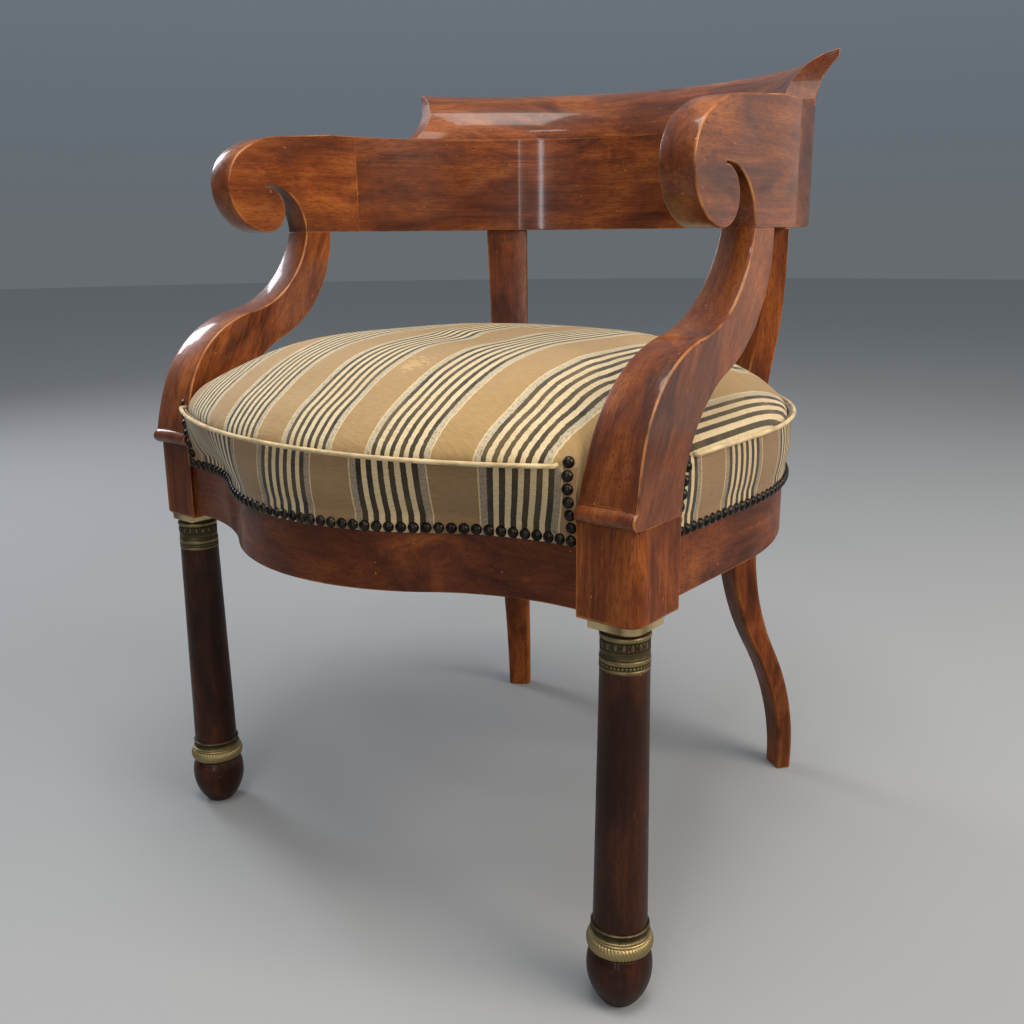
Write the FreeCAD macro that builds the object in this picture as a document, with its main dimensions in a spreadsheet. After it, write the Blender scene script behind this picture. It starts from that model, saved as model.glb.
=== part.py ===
import FreeCAD, Part
import math
import os
import Sketcher
from FreeCAD import Vector

# A desk armchair with a half-round back: mahogany frame, bronze mounts and a nailed, stuffed seat.
# The origin is on the floor under the centre of the round back. The chair faces -Y, and left and
# right are the sitter's, so left is +X. Lengths are in millimetres and angles in degrees.

SIZES = {
    # Turned front legs, from the floor up
    "toe_height": 52,
    "toe_radius": 27.5,
    "toe_flat_radius": 14,
    "toe_shoulder": 6,
    "toe_swell": 6,
    "collar_height": 26,
    "collar_radius": 25,
    "torus_height": 15,
    "torus_swell": 4,
    "column_height": 232,
    "column_foot_radius": 23.5,
    "column_head_radius": 20.5,
    "capital_height": 34,
    "capital_radius": 20,
    "capital_lip": 4,
    "capital_flare": 2,
    "abacus_side": 44,
    "abacus_thick": 7,
    "abacus_corner": 14,
    "spigot_radius": 10,
    "spigot_in_toe": 30,
    "spigot_in_block": 36,
    # Corner blocks
    "block_front": 233,
    "block_width": 56,
    "block_depth": 65,
    "block_height": 79,
    "block_step": 11,
    "block_corner": 15,
    "leg_inset_side": 25,
    "leg_inset_front": 25,
    # Seat rails
    "seat_radius": 297,
    "seat_setback": 30,
    "seat_rail_thick": 25,
    "seat_rail_height": 68,
    "rail_lift": 5,
    "bow_depth": 81,
    "bow_setback": 4,
    # Arms, back and crest
    "back_radius": 296,
    "arm_thick": 32,
    "arm_height": 108,
    "arm_joint_angle": 82,
    "arm_fall": 6,
    "volute_reach": 147,
    "volute_drop": 53,
    "volute_bend": 69,
    "shoulder_run": 47,
    "shoulder_fall": 15,
    "eye_radius": 24.5,
    "eye_setback": 96,
    "kerf": 1.5,
    "slot_depth": 15.3,
    "crest_height": 56,
    "crest_reach": 318,
    "crest_tip": 7,
    "crest_roll": 13,
    "crest_hollow": 5.5,
    "crest_angle": 64.5,
    "crest_end_run": 30,
    # Arm supports
    "support_height": 218,
    "neck_front": 43,
    "neck_rear": 6,
    "rear_bend_back": 92,
    "rear_bend_height": 103,
    "rear_bend_hollow": 17.7,
    "rear_bend_swell": 21,
    "front_bend_back": 132,
    "front_bend_height": 134,
    "front_bend_hollow": 18.5,
    "front_bend_swell": 16.5,
    "breast_back": 222,
    "breast_height": 58,
    "breast_swell": 1,
    "bead_height": 14,
    "bead_proud": 5,
    # Rear posts: stile above the seat, sabre leg below it
    "post_angle": 35.1,
    "post_top_thick": 25,
    "post_top_width": 50,
    "post_seat_width": 42,
    "post_splay": 4.5,
    "post_knee_inner": 275,
    "post_knee_outer": 307,
    "post_knee": 300,
    "post_waist": 420,
    "post_waist_thick": 29,
    "post_shoulder": 600,
    "stile_swell": 2,
    "leg_sweep": 66,
    "leg_swell": 8.3,
    "foot_thick": 19,
    "foot_width": 30,
    "foot_straight": 20,
    # Joinery
    "tenon_thick": 10,
    "tenon_height": 36,
    "tenon_length": 16,
    "tenon_root": 5,
    "tenon_width": 24,
    "support_tenon": 22,
    "dowel_radius": 5,
    "dowel_length": 44,
    "fit": 0.15,
    # Upholstery
    "cloth_thick": 2,
    "soft_gap": 0.3,
    "border_skirt": 16,
    "border_height": 50,
    "border_swell": 3,
    "seam_lean": 4,
    "seam_bow_lean": 2.1,
    "crown_height": 76,
    "piping_radius": 2.8,
    "webbing_width": 50,
    "webbing_pitch": 92,
    "webbing_thick": 1.5,
    "hessian_thick": 1,
    "nail_radius": 4.9,
    "nail_height": 4,
    "nail_pitch": 10.6,
    "nail_line": 5,
}
NAILS_BESIDE_SUPPORT = 6
NAILS_BEHIND_SUPPORT = 5
NAILS_BESIDE_POST = 4
CREST_DOWEL_ANGLES = (-50, -25, 0, 25, 50)
ARM_DOWEL_HEIGHTS = (0.3, 0.7)
WEBBING_ROWS = (-2, -1, 0, 1, 2)
CROWN_STEPS = (0, 14, 30, 48, 66, 82)

doc = FreeCAD.newDocument("tub_chair")
sheet = doc.addObject("Spreadsheet::Sheet", "Sizes")
worked = doc.addObject("Spreadsheet::Sheet", "Worked")


class Size:
    """A length or angle: its value, and the expression that ties it to the sheet."""

    def __init__(self, value, text):
        self.value = value
        self.text = text

    def __float__(self):
        return float(self.value)

    def __add__(self, other):
        other = as_size(other)
        return Size(self.value + other.value, f"({self.text} + {other.text})")

    def __sub__(self, other):
        other = as_size(other)
        return Size(self.value - other.value, f"({self.text} - {other.text})")

    def __mul__(self, other):
        other = as_size(other)
        return Size(self.value * other.value, f"({self.text} * {other.text})")

    def __truediv__(self, other):
        other = as_size(other)
        return Size(self.value / other.value, f"({self.text} / {other.text})")

    def __rsub__(self, other):
        return as_size(other) - self

    def __neg__(self):
        return Size(-self.value, f"(0 - {self.text})")

    __radd__ = __add__
    __rmul__ = __mul__


def as_size(value):
    """Takes a plain number as a size that nothing drives."""
    return value if isinstance(value, Size) else Size(float(value), repr(float(value)))


def root(size):
    return Size(math.sqrt(size.value), f"sqrt({size.text})")


def sine(angle):
    return Size(math.sin(math.radians(angle.value)), f"sin({angle.text})")


def cosine(angle):
    return Size(math.cos(math.radians(angle.value)), f"cos({angle.text})")


def keep(name, size):
    """Writes a worked-out size to the second sheet, so that expressions stay short."""
    row = len(kept) + 1
    kept.append(name)
    worked.set(f"A{row}", name)
    worked.set(f"B{row}", f"={size.text}")
    worked.setAlias(f"B{row}", name)
    return Size(size.value, f"Worked.{name}")


kept = []
dim = {}
for row, (name, value) in enumerate(SIZES.items(), 1):
    sheet.set(f"A{row}", name)
    sheet.set(f"B{row}", str(value))
    sheet.setAlias(f"B{row}", name)
    dim[name] = Size(float(value), f"Sizes.{name}")
doc.recompute()

nodes = []


def bind(item, path, size):
    item.setExpression(path, as_size(size).text)


def place(item, x=0, y=0, z=0, angle=None):
    """Ties an item's place to the sizes, turned about the vertical where an angle is given."""
    if angle is not None:
        item.Placement = FreeCAD.Placement(Vector(), FreeCAD.Rotation(Vector(0, 0, 1), float(angle)))
        bind(item, "Placement.Rotation.Angle", angle)
    for axis, size in zip("xyz", (x, y, z)):
        bind(item, f"Placement.Base.{axis}", size)
    return item


def node(label, item):
    """Registers a finished piece under the name of its file."""
    item.Label = label
    nodes.append(item)
    return item


def both_sides(name, left):
    """Registers the left piece, and its mirror image as the right one."""
    node(f"{name}_left", left)
    right = doc.addObject("Part::Mirroring", f"{name}_mirrored")
    right.Source = left
    right.Normal = Vector(1, 0, 0)
    node(f"{name}_right", right)


# Sketches, solids and booleans

def arc_middle(here, there, depth):
    """The middle of an arc whose middle stands off its chord, to the right of the way it runs."""
    across = there[0] - here[0]
    along = there[1] - here[1]
    share = depth / root(across * across + along * along)
    return ((here[0] + there[0]) / 2 + along * share, (here[1] + there[1]) / 2 - across * share)


def sketch_on(body, role):
    sketch = body.newObject("Sketcher::SketchObject", f"{body.Name}_outline")
    plane = next(item for item in body.Origin.OriginFeatures if item.Role == role)
    sketch.AttachmentSupport = (plane, [""])
    sketch.MapMode = "FlatFace"
    return sketch


def pin(sketch, rules, ties, geometry, position, point):
    """Adds the rules that hold one point of a sketch at its sizes."""
    for kind, axis, size in (("DistanceX", -2, point[0]), ("DistanceY", -1, point[1])):
        if size.value == 0:
            rules.append(Sketcher.Constraint("PointOnObject", geometry, position, axis))
        else:
            ties[len(rules)] = size.text
            rules.append(Sketcher.Constraint(kind, -1, 1, geometry, position, size.value))


def outline(sketch, *corners):
    """Draws a closed loop. A corner with a third size starts an arc that stands that far off its chord."""
    corners = [tuple(as_size(size) for size in corner) for corner in corners]
    rules = []
    ties = {}
    heads = []
    tails = []
    for index, here in enumerate(corners):
        there = corners[(index + 1) % len(corners)]
        start = Vector(here[0].value, here[1].value, 0)
        end = Vector(there[0].value, there[1].value, 0)
        if len(here) == 3:
            middle = arc_middle(here, there, here[2])
            through = Vector(middle[0].value, middle[1].value, 0)
            edge = sketch.addGeometry(Part.Arc(start, through, end), False)
            mark = sketch.addGeometry(Part.Point(through), True)
            pin(sketch, rules, ties, mark, 1, middle)
            rules.append(Sketcher.Constraint("PointOnObject", mark, 1, edge))
        else:
            edge = sketch.addGeometry(Part.LineSegment(start, end), False)
        forward = sketch.getPoint(edge, 1).distanceToPoint(start) < sketch.getPoint(edge, 2).distanceToPoint(start)
        heads.append((edge, 1 if forward else 2))
        tails.append((edge, 2 if forward else 1))
        pin(sketch, rules, ties, *heads[-1], here)
    for index, tail in enumerate(tails):
        rules.append(Sketcher.Constraint("Coincident", *tail, *heads[(index + 1) % len(heads)]))
    first = sketch.ConstraintCount
    sketch.addConstraint(rules)
    for index, text in ties.items():
        sketch.setExpression(f"Constraints[{first + index}]", text)
    return sketch


def body_of(name, role, *corners):
    """Starts a body from one closed outline on one of its origin planes."""
    body = doc.addObject("PartDesign::Body", name)
    return body, outline(sketch_on(body, role), *corners)


def extruded(name, role, length, *corners, both_ways=False):
    body, sketch = body_of(name, role, *corners)
    pad = body.newObject("PartDesign::Pad", f"{name}_pad")
    pad.Profile = sketch
    pad.SideType = "Symmetric" if both_ways else "One side"
    bind(pad, "Length", length)
    return body


def turned(name, angle, *corners):
    """Turns an outline of radius and height about the vertical, evenly to both sides."""
    body, sketch = body_of(name, "XZ_Plane", *corners)
    turning = body.newObject("PartDesign::Revolution", f"{name}_turning")
    turning.Profile = sketch
    turning.ReferenceAxis = (sketch, ["V_Axis"])
    turning.Midplane = True
    bind(turning, "Angle", angle)
    return body


def box(name, low, high, angle=None):
    """A block between two corners. With an angle the corners are along and across that bearing."""
    item = doc.addObject("Part::Box", name)
    for path, start, end in zip(("Length", "Width", "Height"), low, high):
        bind(item, path, as_size(end) - start)
    if angle is None:
        return place(item, *low)
    ahead, aside = low[0], low[1]
    x = ahead * cosine(angle) - aside * sine(angle)
    y = ahead * sine(angle) + aside * cosine(angle)
    return place(item, x, y - dim["seat_setback"], low[2], angle)


def grown(name, low, high, angle=None):
    """The mortise for a tenon: the same block with the fit added all round."""
    fit = dim["fit"]
    return box(name, [size - fit for size in low], [size + fit for size in high], angle)


def peg(name, radius, length, x, y, z):
    item = doc.addObject("Part::Cylinder", name)
    bind(item, "Radius", radius)
    bind(item, "Height", length)
    return place(item, x, y, z)


def joined(name, *items):
    item = doc.addObject("Part::MultiFuse", name)
    item.Shapes = list(items)
    return item


def cut(name, base, *tools):
    item = doc.addObject("Part::Cut", name)
    item.Base = base
    item.Tool = tools[0] if len(tools) == 1 else joined(f"{name}_tools", *tools)
    return item


def shared(name, first, second):
    item = doc.addObject("Part::Common", name)
    item.Base = first
    item.Tool = second
    return item


def grouped(name, items):
    item = doc.addObject("Part::Compound", name)
    item.Links = list(items)
    return item


# Heights and plan lines that several pieces share

zero = as_size(0)
full_turn = as_size(360)
right_angle = as_size(90)
column_base = keep("column_base", dim["toe_height"] + dim["collar_height"])
column_top = keep("column_top", column_base + dim["column_height"])
capital_top = keep("capital_top", column_top + dim["capital_height"])
block_base = keep("block_base", capital_top + dim["abacus_thick"])
rail_base = keep("rail_base", block_base + dim["rail_lift"])
rail_top = keep("rail_top", rail_base + dim["seat_rail_height"])
block_top = keep("block_top", block_base + dim["block_height"])
arm_base = keep("arm_base", block_top + dim["support_height"])
arm_top = keep("arm_top", arm_base + dim["arm_height"])
crest_top = keep("crest_top", arm_top + dim["crest_height"])

back_inner = keep("back_inner", dim["back_radius"] - dim["arm_thick"])
back_middle = keep("back_middle", dim["back_radius"] - dim["arm_thick"] / 2)
block_outer = keep("block_outer", dim["back_radius"] + dim["block_step"])
block_inner = keep("block_inner", block_outer - dim["block_width"])
block_front = -dim["block_front"]
block_rear = keep("block_rear", dim["block_depth"] - dim["block_front"])
leg_x = keep("leg_x", block_outer - dim["leg_inset_side"])
leg_y = keep("leg_y", dim["leg_inset_front"] - dim["block_front"])
rail_end = keep("rail_end", dim["bow_setback"] - dim["block_front"])
seat_inner = keep("seat_inner", dim["seat_radius"] - dim["seat_rail_thick"])
seat_middle = keep("seat_middle", dim["seat_radius"] - dim["seat_rail_thick"] / 2)
hole_radius = keep("hole_radius", dim["spigot_radius"] + dim["fit"])
tenon_low = keep("tenon_low", rail_base + (dim["seat_rail_height"] - dim["tenon_height"]) / 3)
tenon_high = keep("tenon_high", tenon_low + dim["tenon_height"])


# Front legs

def front_leg():
    toe_waist = dim["toe_height"] - dim["toe_shoulder"]
    toe_floor = dim["toe_height"] - dim["spigot_in_toe"] - dim["fit"]
    toe = turned(
        "toe", full_turn,
        (zero, zero),
        (dim["toe_flat_radius"], zero, dim["toe_swell"]),
        (dim["toe_radius"], toe_waist),
        (dim["collar_radius"], dim["toe_height"]),
        (hole_radius, dim["toe_height"]),
        (hole_radius, toe_floor),
        (zero, toe_floor),
    )
    torus_top = dim["toe_height"] + dim["torus_height"]
    collar = turned(
        "base_collar", full_turn,
        (hole_radius, dim["toe_height"]),
        (dim["collar_radius"], dim["toe_height"], dim["torus_swell"]),
        (dim["collar_radius"], torus_top),
        (dim["column_foot_radius"], column_base),
        (hole_radius, column_base),
    )
    column = turned(
        "column", full_turn,
        (zero, dim["toe_height"] - dim["spigot_in_toe"]),
        (dim["spigot_radius"], dim["toe_height"] - dim["spigot_in_toe"]),
        (dim["spigot_radius"], column_base),
        (dim["column_foot_radius"], column_base),
        (dim["column_head_radius"], column_top),
        (dim["spigot_radius"], column_top),
        (dim["spigot_radius"], block_base + dim["spigot_in_block"]),
        (zero, block_base + dim["spigot_in_block"]),
    )
    lip_low = capital_top - dim["capital_lip"] * 2
    lip_high = capital_top - dim["capital_lip"]
    capital = turned(
        "capital", full_turn,
        (hole_radius, column_top),
        (dim["capital_radius"], column_top),
        (dim["capital_radius"], lip_low),
        (dim["capital_radius"] + dim["capital_flare"], lip_high),
        (dim["capital_radius"] + dim["capital_flare"], capital_top),
        (hole_radius, capital_top),
    )
    half = dim["abacus_side"] / 2
    corner = dim["abacus_corner"]
    plate = extruded(
        "abacus_plate", "XY_Plane", dim["abacus_thick"],
        (-half, -half),
        (half - corner, -half, corner * (1 - math.sqrt(0.5))),
        (half, corner - half),
        (half, half),
        (-half, half),
    )
    place(plate, leg_x, leg_y, capital_top)
    bore = peg("abacus_bore", hole_radius, dim["abacus_thick"], leg_x, leg_y, capital_top)
    for name, piece in (("toe", toe), ("base_collar", collar), ("column", column), ("capital", capital)):
        place(piece, leg_x, leg_y, zero)
        both_sides(name, piece)
    both_sides("abacus", cut("abacus", plate, bore))


# Tenons, each given once as two corners, for the piece that has it and the piece that takes it

rail_line = rail_end + dim["seat_rail_thick"] / 2
front_tenon = (
    (block_inner - dim["tenon_root"], rail_line - dim["tenon_thick"] / 2, tenon_low),
    (block_inner + dim["tenon_length"], rail_line + dim["tenon_thick"] / 2, tenon_high),
)
side_tenon = (
    (seat_middle - dim["tenon_thick"] / 2, block_rear - dim["tenon_length"], tenon_low),
    (seat_middle + dim["tenon_thick"] / 2, block_rear + dim["tenon_root"], tenon_high),
)
support_x = keep("support_x", block_outer - dim["block_width"] / 2)
support_y = keep("support_y", (block_front + block_rear) / 2)
foot_tenon = (
    (support_x - dim["tenon_thick"] / 2, support_y - dim["tenon_width"] / 2, block_top - dim["support_tenon"]),
    (support_x + dim["tenon_thick"] / 2, support_y + dim["tenon_width"] / 2, block_top + dim["tenon_root"]),
)
neck_y = keep("neck_y", -(dim["neck_front"] + dim["neck_rear"]) / 2)
neck_tenon = (
    (back_middle - dim["tenon_thick"] / 2, neck_y - dim["tenon_width"] / 2, arm_base - dim["tenon_root"]),
    (back_middle + dim["tenon_thick"] / 2, neck_y + dim["tenon_width"] / 2, arm_base + dim["support_tenon"]),
)
post_bearing = keep("post_bearing", right_angle - dim["post_angle"])
post_half = keep("post_half", dim["post_seat_width"] / 2)
post_shift = dim["seat_setback"] * sine(dim["post_angle"])
post_top_outer = keep(
    "post_top_outer",
    dim["seat_setback"] * cosine(dim["post_angle"])
    + root(dim["back_radius"] * dim["back_radius"] - post_shift * post_shift),
)
post_top_inner = keep("post_top_inner", post_top_outer - dim["post_top_thick"])
post_top_middle = keep("post_top_middle", post_top_outer - dim["post_top_thick"] / 2)
stile_tenon = (
    (
        post_top_middle - dim["tenon_thick"] / 2,
        -dim["post_splay"] - dim["tenon_width"] / 2,
        arm_base - dim["tenon_root"],
    ),
    (
        post_top_middle + dim["tenon_thick"] / 2,
        dim["tenon_width"] / 2 - dim["post_splay"],
        arm_base + dim["support_tenon"],
    ),
)


def post_tenon(side):
    """The tenon of a seat rail in the front (-1) or rear (1) side of the left post."""
    low = post_half - dim["tenon_length"]
    high = post_half + dim["tenon_root"]
    near, far = (low, high) if side > 0 else (-high, -low)
    return (
        (seat_middle - dim["tenon_thick"] / 2, near, tenon_low),
        (seat_middle + dim["tenon_thick"] / 2, far, tenon_high),
    )


# Corner blocks

def corner_block():
    corner = dim["block_corner"]
    quarter_rise = corner * (1 - math.sqrt(0.5))
    block = extruded(
        "block", "XY_Plane", dim["block_height"],
        (block_inner, block_front),
        (block_outer - corner, block_front, quarter_rise),
        (block_outer, block_front + corner),
        (block_outer, block_rear),
        (block_inner, block_rear),
    )
    place(block, z=block_base)
    socket = peg("leg_socket", hole_radius, dim["spigot_in_block"] + dim["fit"], leg_x, leg_y, block_base)
    both_sides("corner_block", cut(
        "corner_block", block, socket,
        grown("front_rail_mortise", *front_tenon),
        grown("side_rail_mortise", *side_tenon),
        grown("support_mortise", *foot_tenon),
    ))


# Seat rails. The front rail runs in a double curve of two equal arcs to each side of its middle.

bow_radius = keep(
    "bow_radius",
    (block_inner * block_inner + dim["bow_depth"] * dim["bow_depth"]) / (dim["bow_depth"] * 4),
)
bow_sine = keep("bow_sine", block_inner / (bow_radius * 2))
bow_cosine = keep("bow_cosine", 1 - dim["bow_depth"] / (bow_radius * 2))
bow_rise = keep("bow_rise", 1 - root((1 + bow_cosine) / 2))
bow_front = keep("bow_front", rail_end - dim["bow_depth"])


def front_rail():
    thick = dim["seat_rail_thick"]
    turn_x = block_inner / 2
    turn_y = rail_end - dim["bow_depth"] / 2
    inner_x = turn_x - thick * bow_sine
    inner_y = turn_y + thick * bow_cosine
    rise = bow_radius * bow_rise
    outer_rise = (bow_radius + thick) * bow_rise
    inner_rise = (bow_radius - thick) * bow_rise
    rail = extruded(
        "front_rail", "XY_Plane", dim["seat_rail_height"],
        (-block_inner, rail_end, -rise),
        (-turn_x, turn_y, rise),
        (zero, bow_front, rise),
        (turn_x, turn_y, -rise),
        (block_inner, rail_end),
        (block_inner, rail_end + thick, outer_rise),
        (inner_x, inner_y, -inner_rise),
        (zero, bow_front + thick, -inner_rise),
        (-inner_x, inner_y, outer_rise),
        (-block_inner, rail_end + thick),
    )
    place(rail, z=rail_base)
    low, high = front_tenon
    left = box("front_rail_tenon_left", low, high)
    right = box("front_rail_tenon_right", (-high[0], low[1], low[2]), (-low[0], high[1], high[2]))
    node("front_seat_rail", joined("front_seat_rail", rail, left, right))


def ring_end(radius, side):
    """Where a seat rail's face, at this radius, meets the front (-1) or rear (1) side of the left post."""
    reach = root(radius * radius - post_half * post_half)
    aside = post_half * side
    x = reach * sine(dim["post_angle"]) - aside * cosine(dim["post_angle"])
    y = reach * cosine(dim["post_angle"]) + aside * sine(dim["post_angle"]) - dim["seat_setback"]
    return x, y


def arc_rise(radius, here, there):
    """How far an arc of this radius stands off the chord between two points on it."""
    across = here[0] - there[0]
    along = here[1] - there[1]
    return radius - root(radius * radius - (across * across + along * along) / 4)


def side_rail():
    centre = -dim["seat_setback"]
    outer = tuple(keep(f"side_outer_{axis}", size) for axis, size in zip("xy", ring_end(dim["seat_radius"], -1)))
    inner = tuple(keep(f"side_inner_{axis}", size) for axis, size in zip("xy", ring_end(seat_inner, -1)))
    rail = extruded(
        "side_rail", "XY_Plane", dim["seat_rail_height"],
        (dim["seat_radius"], block_rear),
        (dim["seat_radius"], centre, arc_rise(dim["seat_radius"], (dim["seat_radius"], centre), outer)),
        outer,
        (*inner, -arc_rise(seat_inner, (seat_inner, centre), inner)),
        (seat_inner, centre),
        (seat_inner, block_rear),
    )
    place(rail, z=rail_base)
    both_sides("side_seat_rail", joined(
        "side_seat_rail", rail,
        box("side_rail_tenon", *side_tenon),
        box("side_post_tenon", *post_tenon(-1), post_bearing),
    ))


def rear_rail():
    outer = tuple(keep(f"rear_outer_{axis}", size) for axis, size in zip("xy", ring_end(dim["seat_radius"], 1)))
    inner = tuple(keep(f"rear_inner_{axis}", size) for axis, size in zip("xy", ring_end(seat_inner, 1)))
    outer_end = (-outer[0], outer[1])
    inner_end = (-inner[0], inner[1])
    rail = extruded(
        "rear_rail", "XY_Plane", dim["seat_rail_height"],
        (*outer, arc_rise(dim["seat_radius"], outer, outer_end)),
        outer_end,
        (*inner_end, -arc_rise(seat_inner, inner, inner_end)),
        inner,
    )
    place(rail, z=rail_base)
    left = box("rear_post_tenon", *post_tenon(1), post_bearing)
    right = doc.addObject("Part::Mirroring", "rear_post_tenon_mirrored")
    right.Source = left
    right.Normal = Vector(1, 0, 0)
    node("rear_seat_rail", joined("rear_seat_rail", rail, left, right))


# Rear posts. Each is cut to its side outline and to its front outline, in an upright plane
# through the centre of the seat.

waist_outer = keep("waist_outer", dim["post_knee_inner"] + dim["post_waist_thick"])
outer_turn = ((waist_outer + post_top_outer) / 2, (dim["post_waist"] + dim["post_shoulder"]) / 2)
inner_turn = ((dim["post_knee_inner"] + post_top_inner) / 2, outer_turn[1])


def rear_post():
    straight = dim["foot_straight"]
    foot_outer = dim["post_knee_outer"] + dim["leg_sweep"]
    foot_inner = foot_outer - dim["foot_thick"]
    middle_z = (dim["post_knee"] + straight) / 2
    outer_middle = (dim["post_knee_outer"] + foot_outer) / 2
    inner_middle = (dim["post_knee_inner"] + foot_inner) / 2
    swell = dim["leg_swell"]
    bend = dim["stile_swell"]
    side = extruded(
        "post_side", "XZ_Plane", dim["post_top_width"] * 2,
        (foot_inner, zero),
        (foot_outer, zero),
        (foot_outer, straight, swell),
        (outer_middle, middle_z, -swell),
        (dim["post_knee_outer"], dim["post_knee"]),
        (waist_outer, dim["post_waist"], -bend),
        (*outer_turn, bend),
        (post_top_outer, dim["post_shoulder"]),
        (post_top_outer, arm_base),
        (post_top_inner, arm_base),
        (post_top_inner, dim["post_shoulder"], -bend),
        (*inner_turn, bend),
        (dim["post_knee_inner"], dim["post_waist"]),
        (dim["post_knee_inner"], dim["post_knee"], swell),
        (inner_middle, middle_z, -swell),
        (foot_inner, straight),
        both_ways=True,
    )
    foot_half = dim["foot_width"] / 2
    top_half = dim["post_top_width"] / 2
    splay = dim["post_splay"]
    front = extruded(
        "post_front", "YZ_Plane", foot_outer * 3,
        (splay - foot_half, zero),
        (splay + foot_half, zero),
        (post_half, rail_base),
        (post_half, rail_top),
        (top_half - splay, arm_base),
        (-top_half - splay, arm_base),
        (-post_half, rail_top),
        (-post_half, rail_base),
        both_ways=True,
    )
    for outline_body in (side, front):
        place(outline_body, zero, -dim["seat_setback"], zero, post_bearing)
    blank = shared("post_blank", side, front)
    mortised = cut(
        "post_mortised", blank,
        grown("side_post_mortise", *post_tenon(-1), post_bearing),
        grown("rear_post_mortise", *post_tenon(1), post_bearing),
    )
    both_sides("rear_post", joined("rear_post", mortised, box("stile_tenon", *stile_tenon, post_bearing)))


# Arm supports, cut to a side outline and to a front outline, with a bead across the foot

rear_bend = (-dim["rear_bend_back"], block_top + dim["rear_bend_height"])
rear_hollow = -dim["rear_bend_hollow"]


def arm_support():
    front_bend = (-dim["front_bend_back"], block_top + dim["front_bend_height"])
    breast = (-dim["breast_back"], block_top + dim["breast_height"])
    side = extruded(
        "support_side", "YZ_Plane", dim["block_width"] * 2,
        (block_front, block_top),
        (block_rear, block_top, rear_hollow),
        (*rear_bend, dim["rear_bend_swell"]),
        (-dim["neck_rear"], arm_base),
        (-dim["neck_front"], arm_base, -dim["front_bend_hollow"]),
        (*front_bend, dim["front_bend_swell"]),
        (*breast, dim["breast_swell"]),
        (block_front, block_top + dim["bead_height"], dim["bead_proud"]),
        both_ways=True,
    )
    place(side, x=support_x)
    front = extruded(
        "support_front", "XZ_Plane", dim["block_front"] * 3,
        (block_inner, block_top),
        (block_outer, block_top),
        (dim["back_radius"], arm_base),
        (back_inner, arm_base),
        both_ways=True,
    )
    both_sides("arm_support", joined(
        "arm_support", shared("support_blank", side, front),
        box("foot_tenon", *foot_tenon),
        box("neck_tenon", *neck_tenon),
    ))


# Arms, back rail and crest

def arm_dowel(name, height_share, radius, length):
    """A dowel square to the joint of the left arm with the back rail."""
    item = doc.addObject("Part::Cylinder", name)
    angle = float(dim["arm_joint_angle"])
    along = Vector(-math.cos(math.radians(angle)), math.sin(math.radians(angle)), 0)
    middle = Vector(along.y, -along.x, 0) * float(back_middle)
    middle.z = float(arm_base) + float(dim["arm_height"]) * height_share
    bind(item, "Radius", radius)
    bind(item, "Height", length)
    item.Placement = FreeCAD.Placement(middle - along * (float(length) / 2), FreeCAD.Rotation(Vector(0, 0, 1), along))
    return item


def arm_holes(name):
    hole = dim["dowel_radius"] + dim["fit"]
    length = dim["dowel_length"] + dim["fit"] * 2
    return [arm_dowel(f"{name}_{index}", share, hole, length) for index, share in enumerate(ARM_DOWEL_HEIGHTS)]


def mirrored(name, source):
    item = doc.addObject("Part::Mirroring", name)
    item.Source = source
    item.Normal = Vector(1, 0, 0)
    return item


def rail_section(low, high):
    return (back_inner, low), (dim["back_radius"], low), (dim["back_radius"], high), (back_inner, high)


def arm():
    reach = -dim["volute_reach"]
    eye = dim["eye_radius"]
    eye_y = -dim["eye_setback"]
    eye_z = arm_base + eye
    eye_top = arm_base + eye * 2
    quarter = 1 - math.sqrt(0.5)
    brow_y = reach + dim["volute_bend"]
    brow_z = arm_top - dim["arm_fall"]
    front_z = brow_z - dim["volute_drop"]
    shoulder_y = brow_y - dim["shoulder_run"]
    shoulder_z = brow_z - dim["shoulder_fall"]
    drop = front_z - arm_base
    chin = eye_y - reach
    straight = extruded(
        "arm_straight", "YZ_Plane", dim["arm_thick"],
        (-dim["neck_front"], arm_base),
        (zero, arm_base),
        (zero, arm_top),
        (brow_y, brow_z, dim["shoulder_run"] * 0.06),
        (shoulder_y, shoulder_z, (dim["volute_drop"] - dim["shoulder_fall"]) * 0.155),
        (reach, front_z, (chin + drop) / 2 * quarter),
        (eye_y, arm_base, eye * quarter),
        (eye_y + eye, eye_z, eye * quarter),
        (eye_y, eye_top),
        (eye_y, eye_top + dim["kerf"], -dim["slot_depth"]),
        both_ways=True,
    )
    place(straight, x=back_middle)
    bend = turned("arm_bend", right_angle - dim["arm_joint_angle"], *rail_section(arm_base, arm_top))
    place(bend, angle=(right_angle - dim["arm_joint_angle"]) / 2)
    whole = joined("arm_whole", straight, bend)
    both_sides("arm", cut("arm", whole, grown("neck_mortise", *neck_tenon), *arm_holes("arm_hole")))


def back_rail():
    rail = turned("back_ring", dim["arm_joint_angle"] * 2, *rail_section(arm_base, arm_top))
    place(rail, angle=right_angle)
    mortise = grown("stile_mortise", *stile_tenon, post_bearing)
    holes = arm_holes("rail_hole")
    both = [mortise, *holes]
    both += [mirrored(f"{item.Name}_mirrored", item) for item in both]
    node("back_rail", cut("back_rail", rail, *both, *crest_pegs("rail_peg_hole", dim["fit"])))


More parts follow.
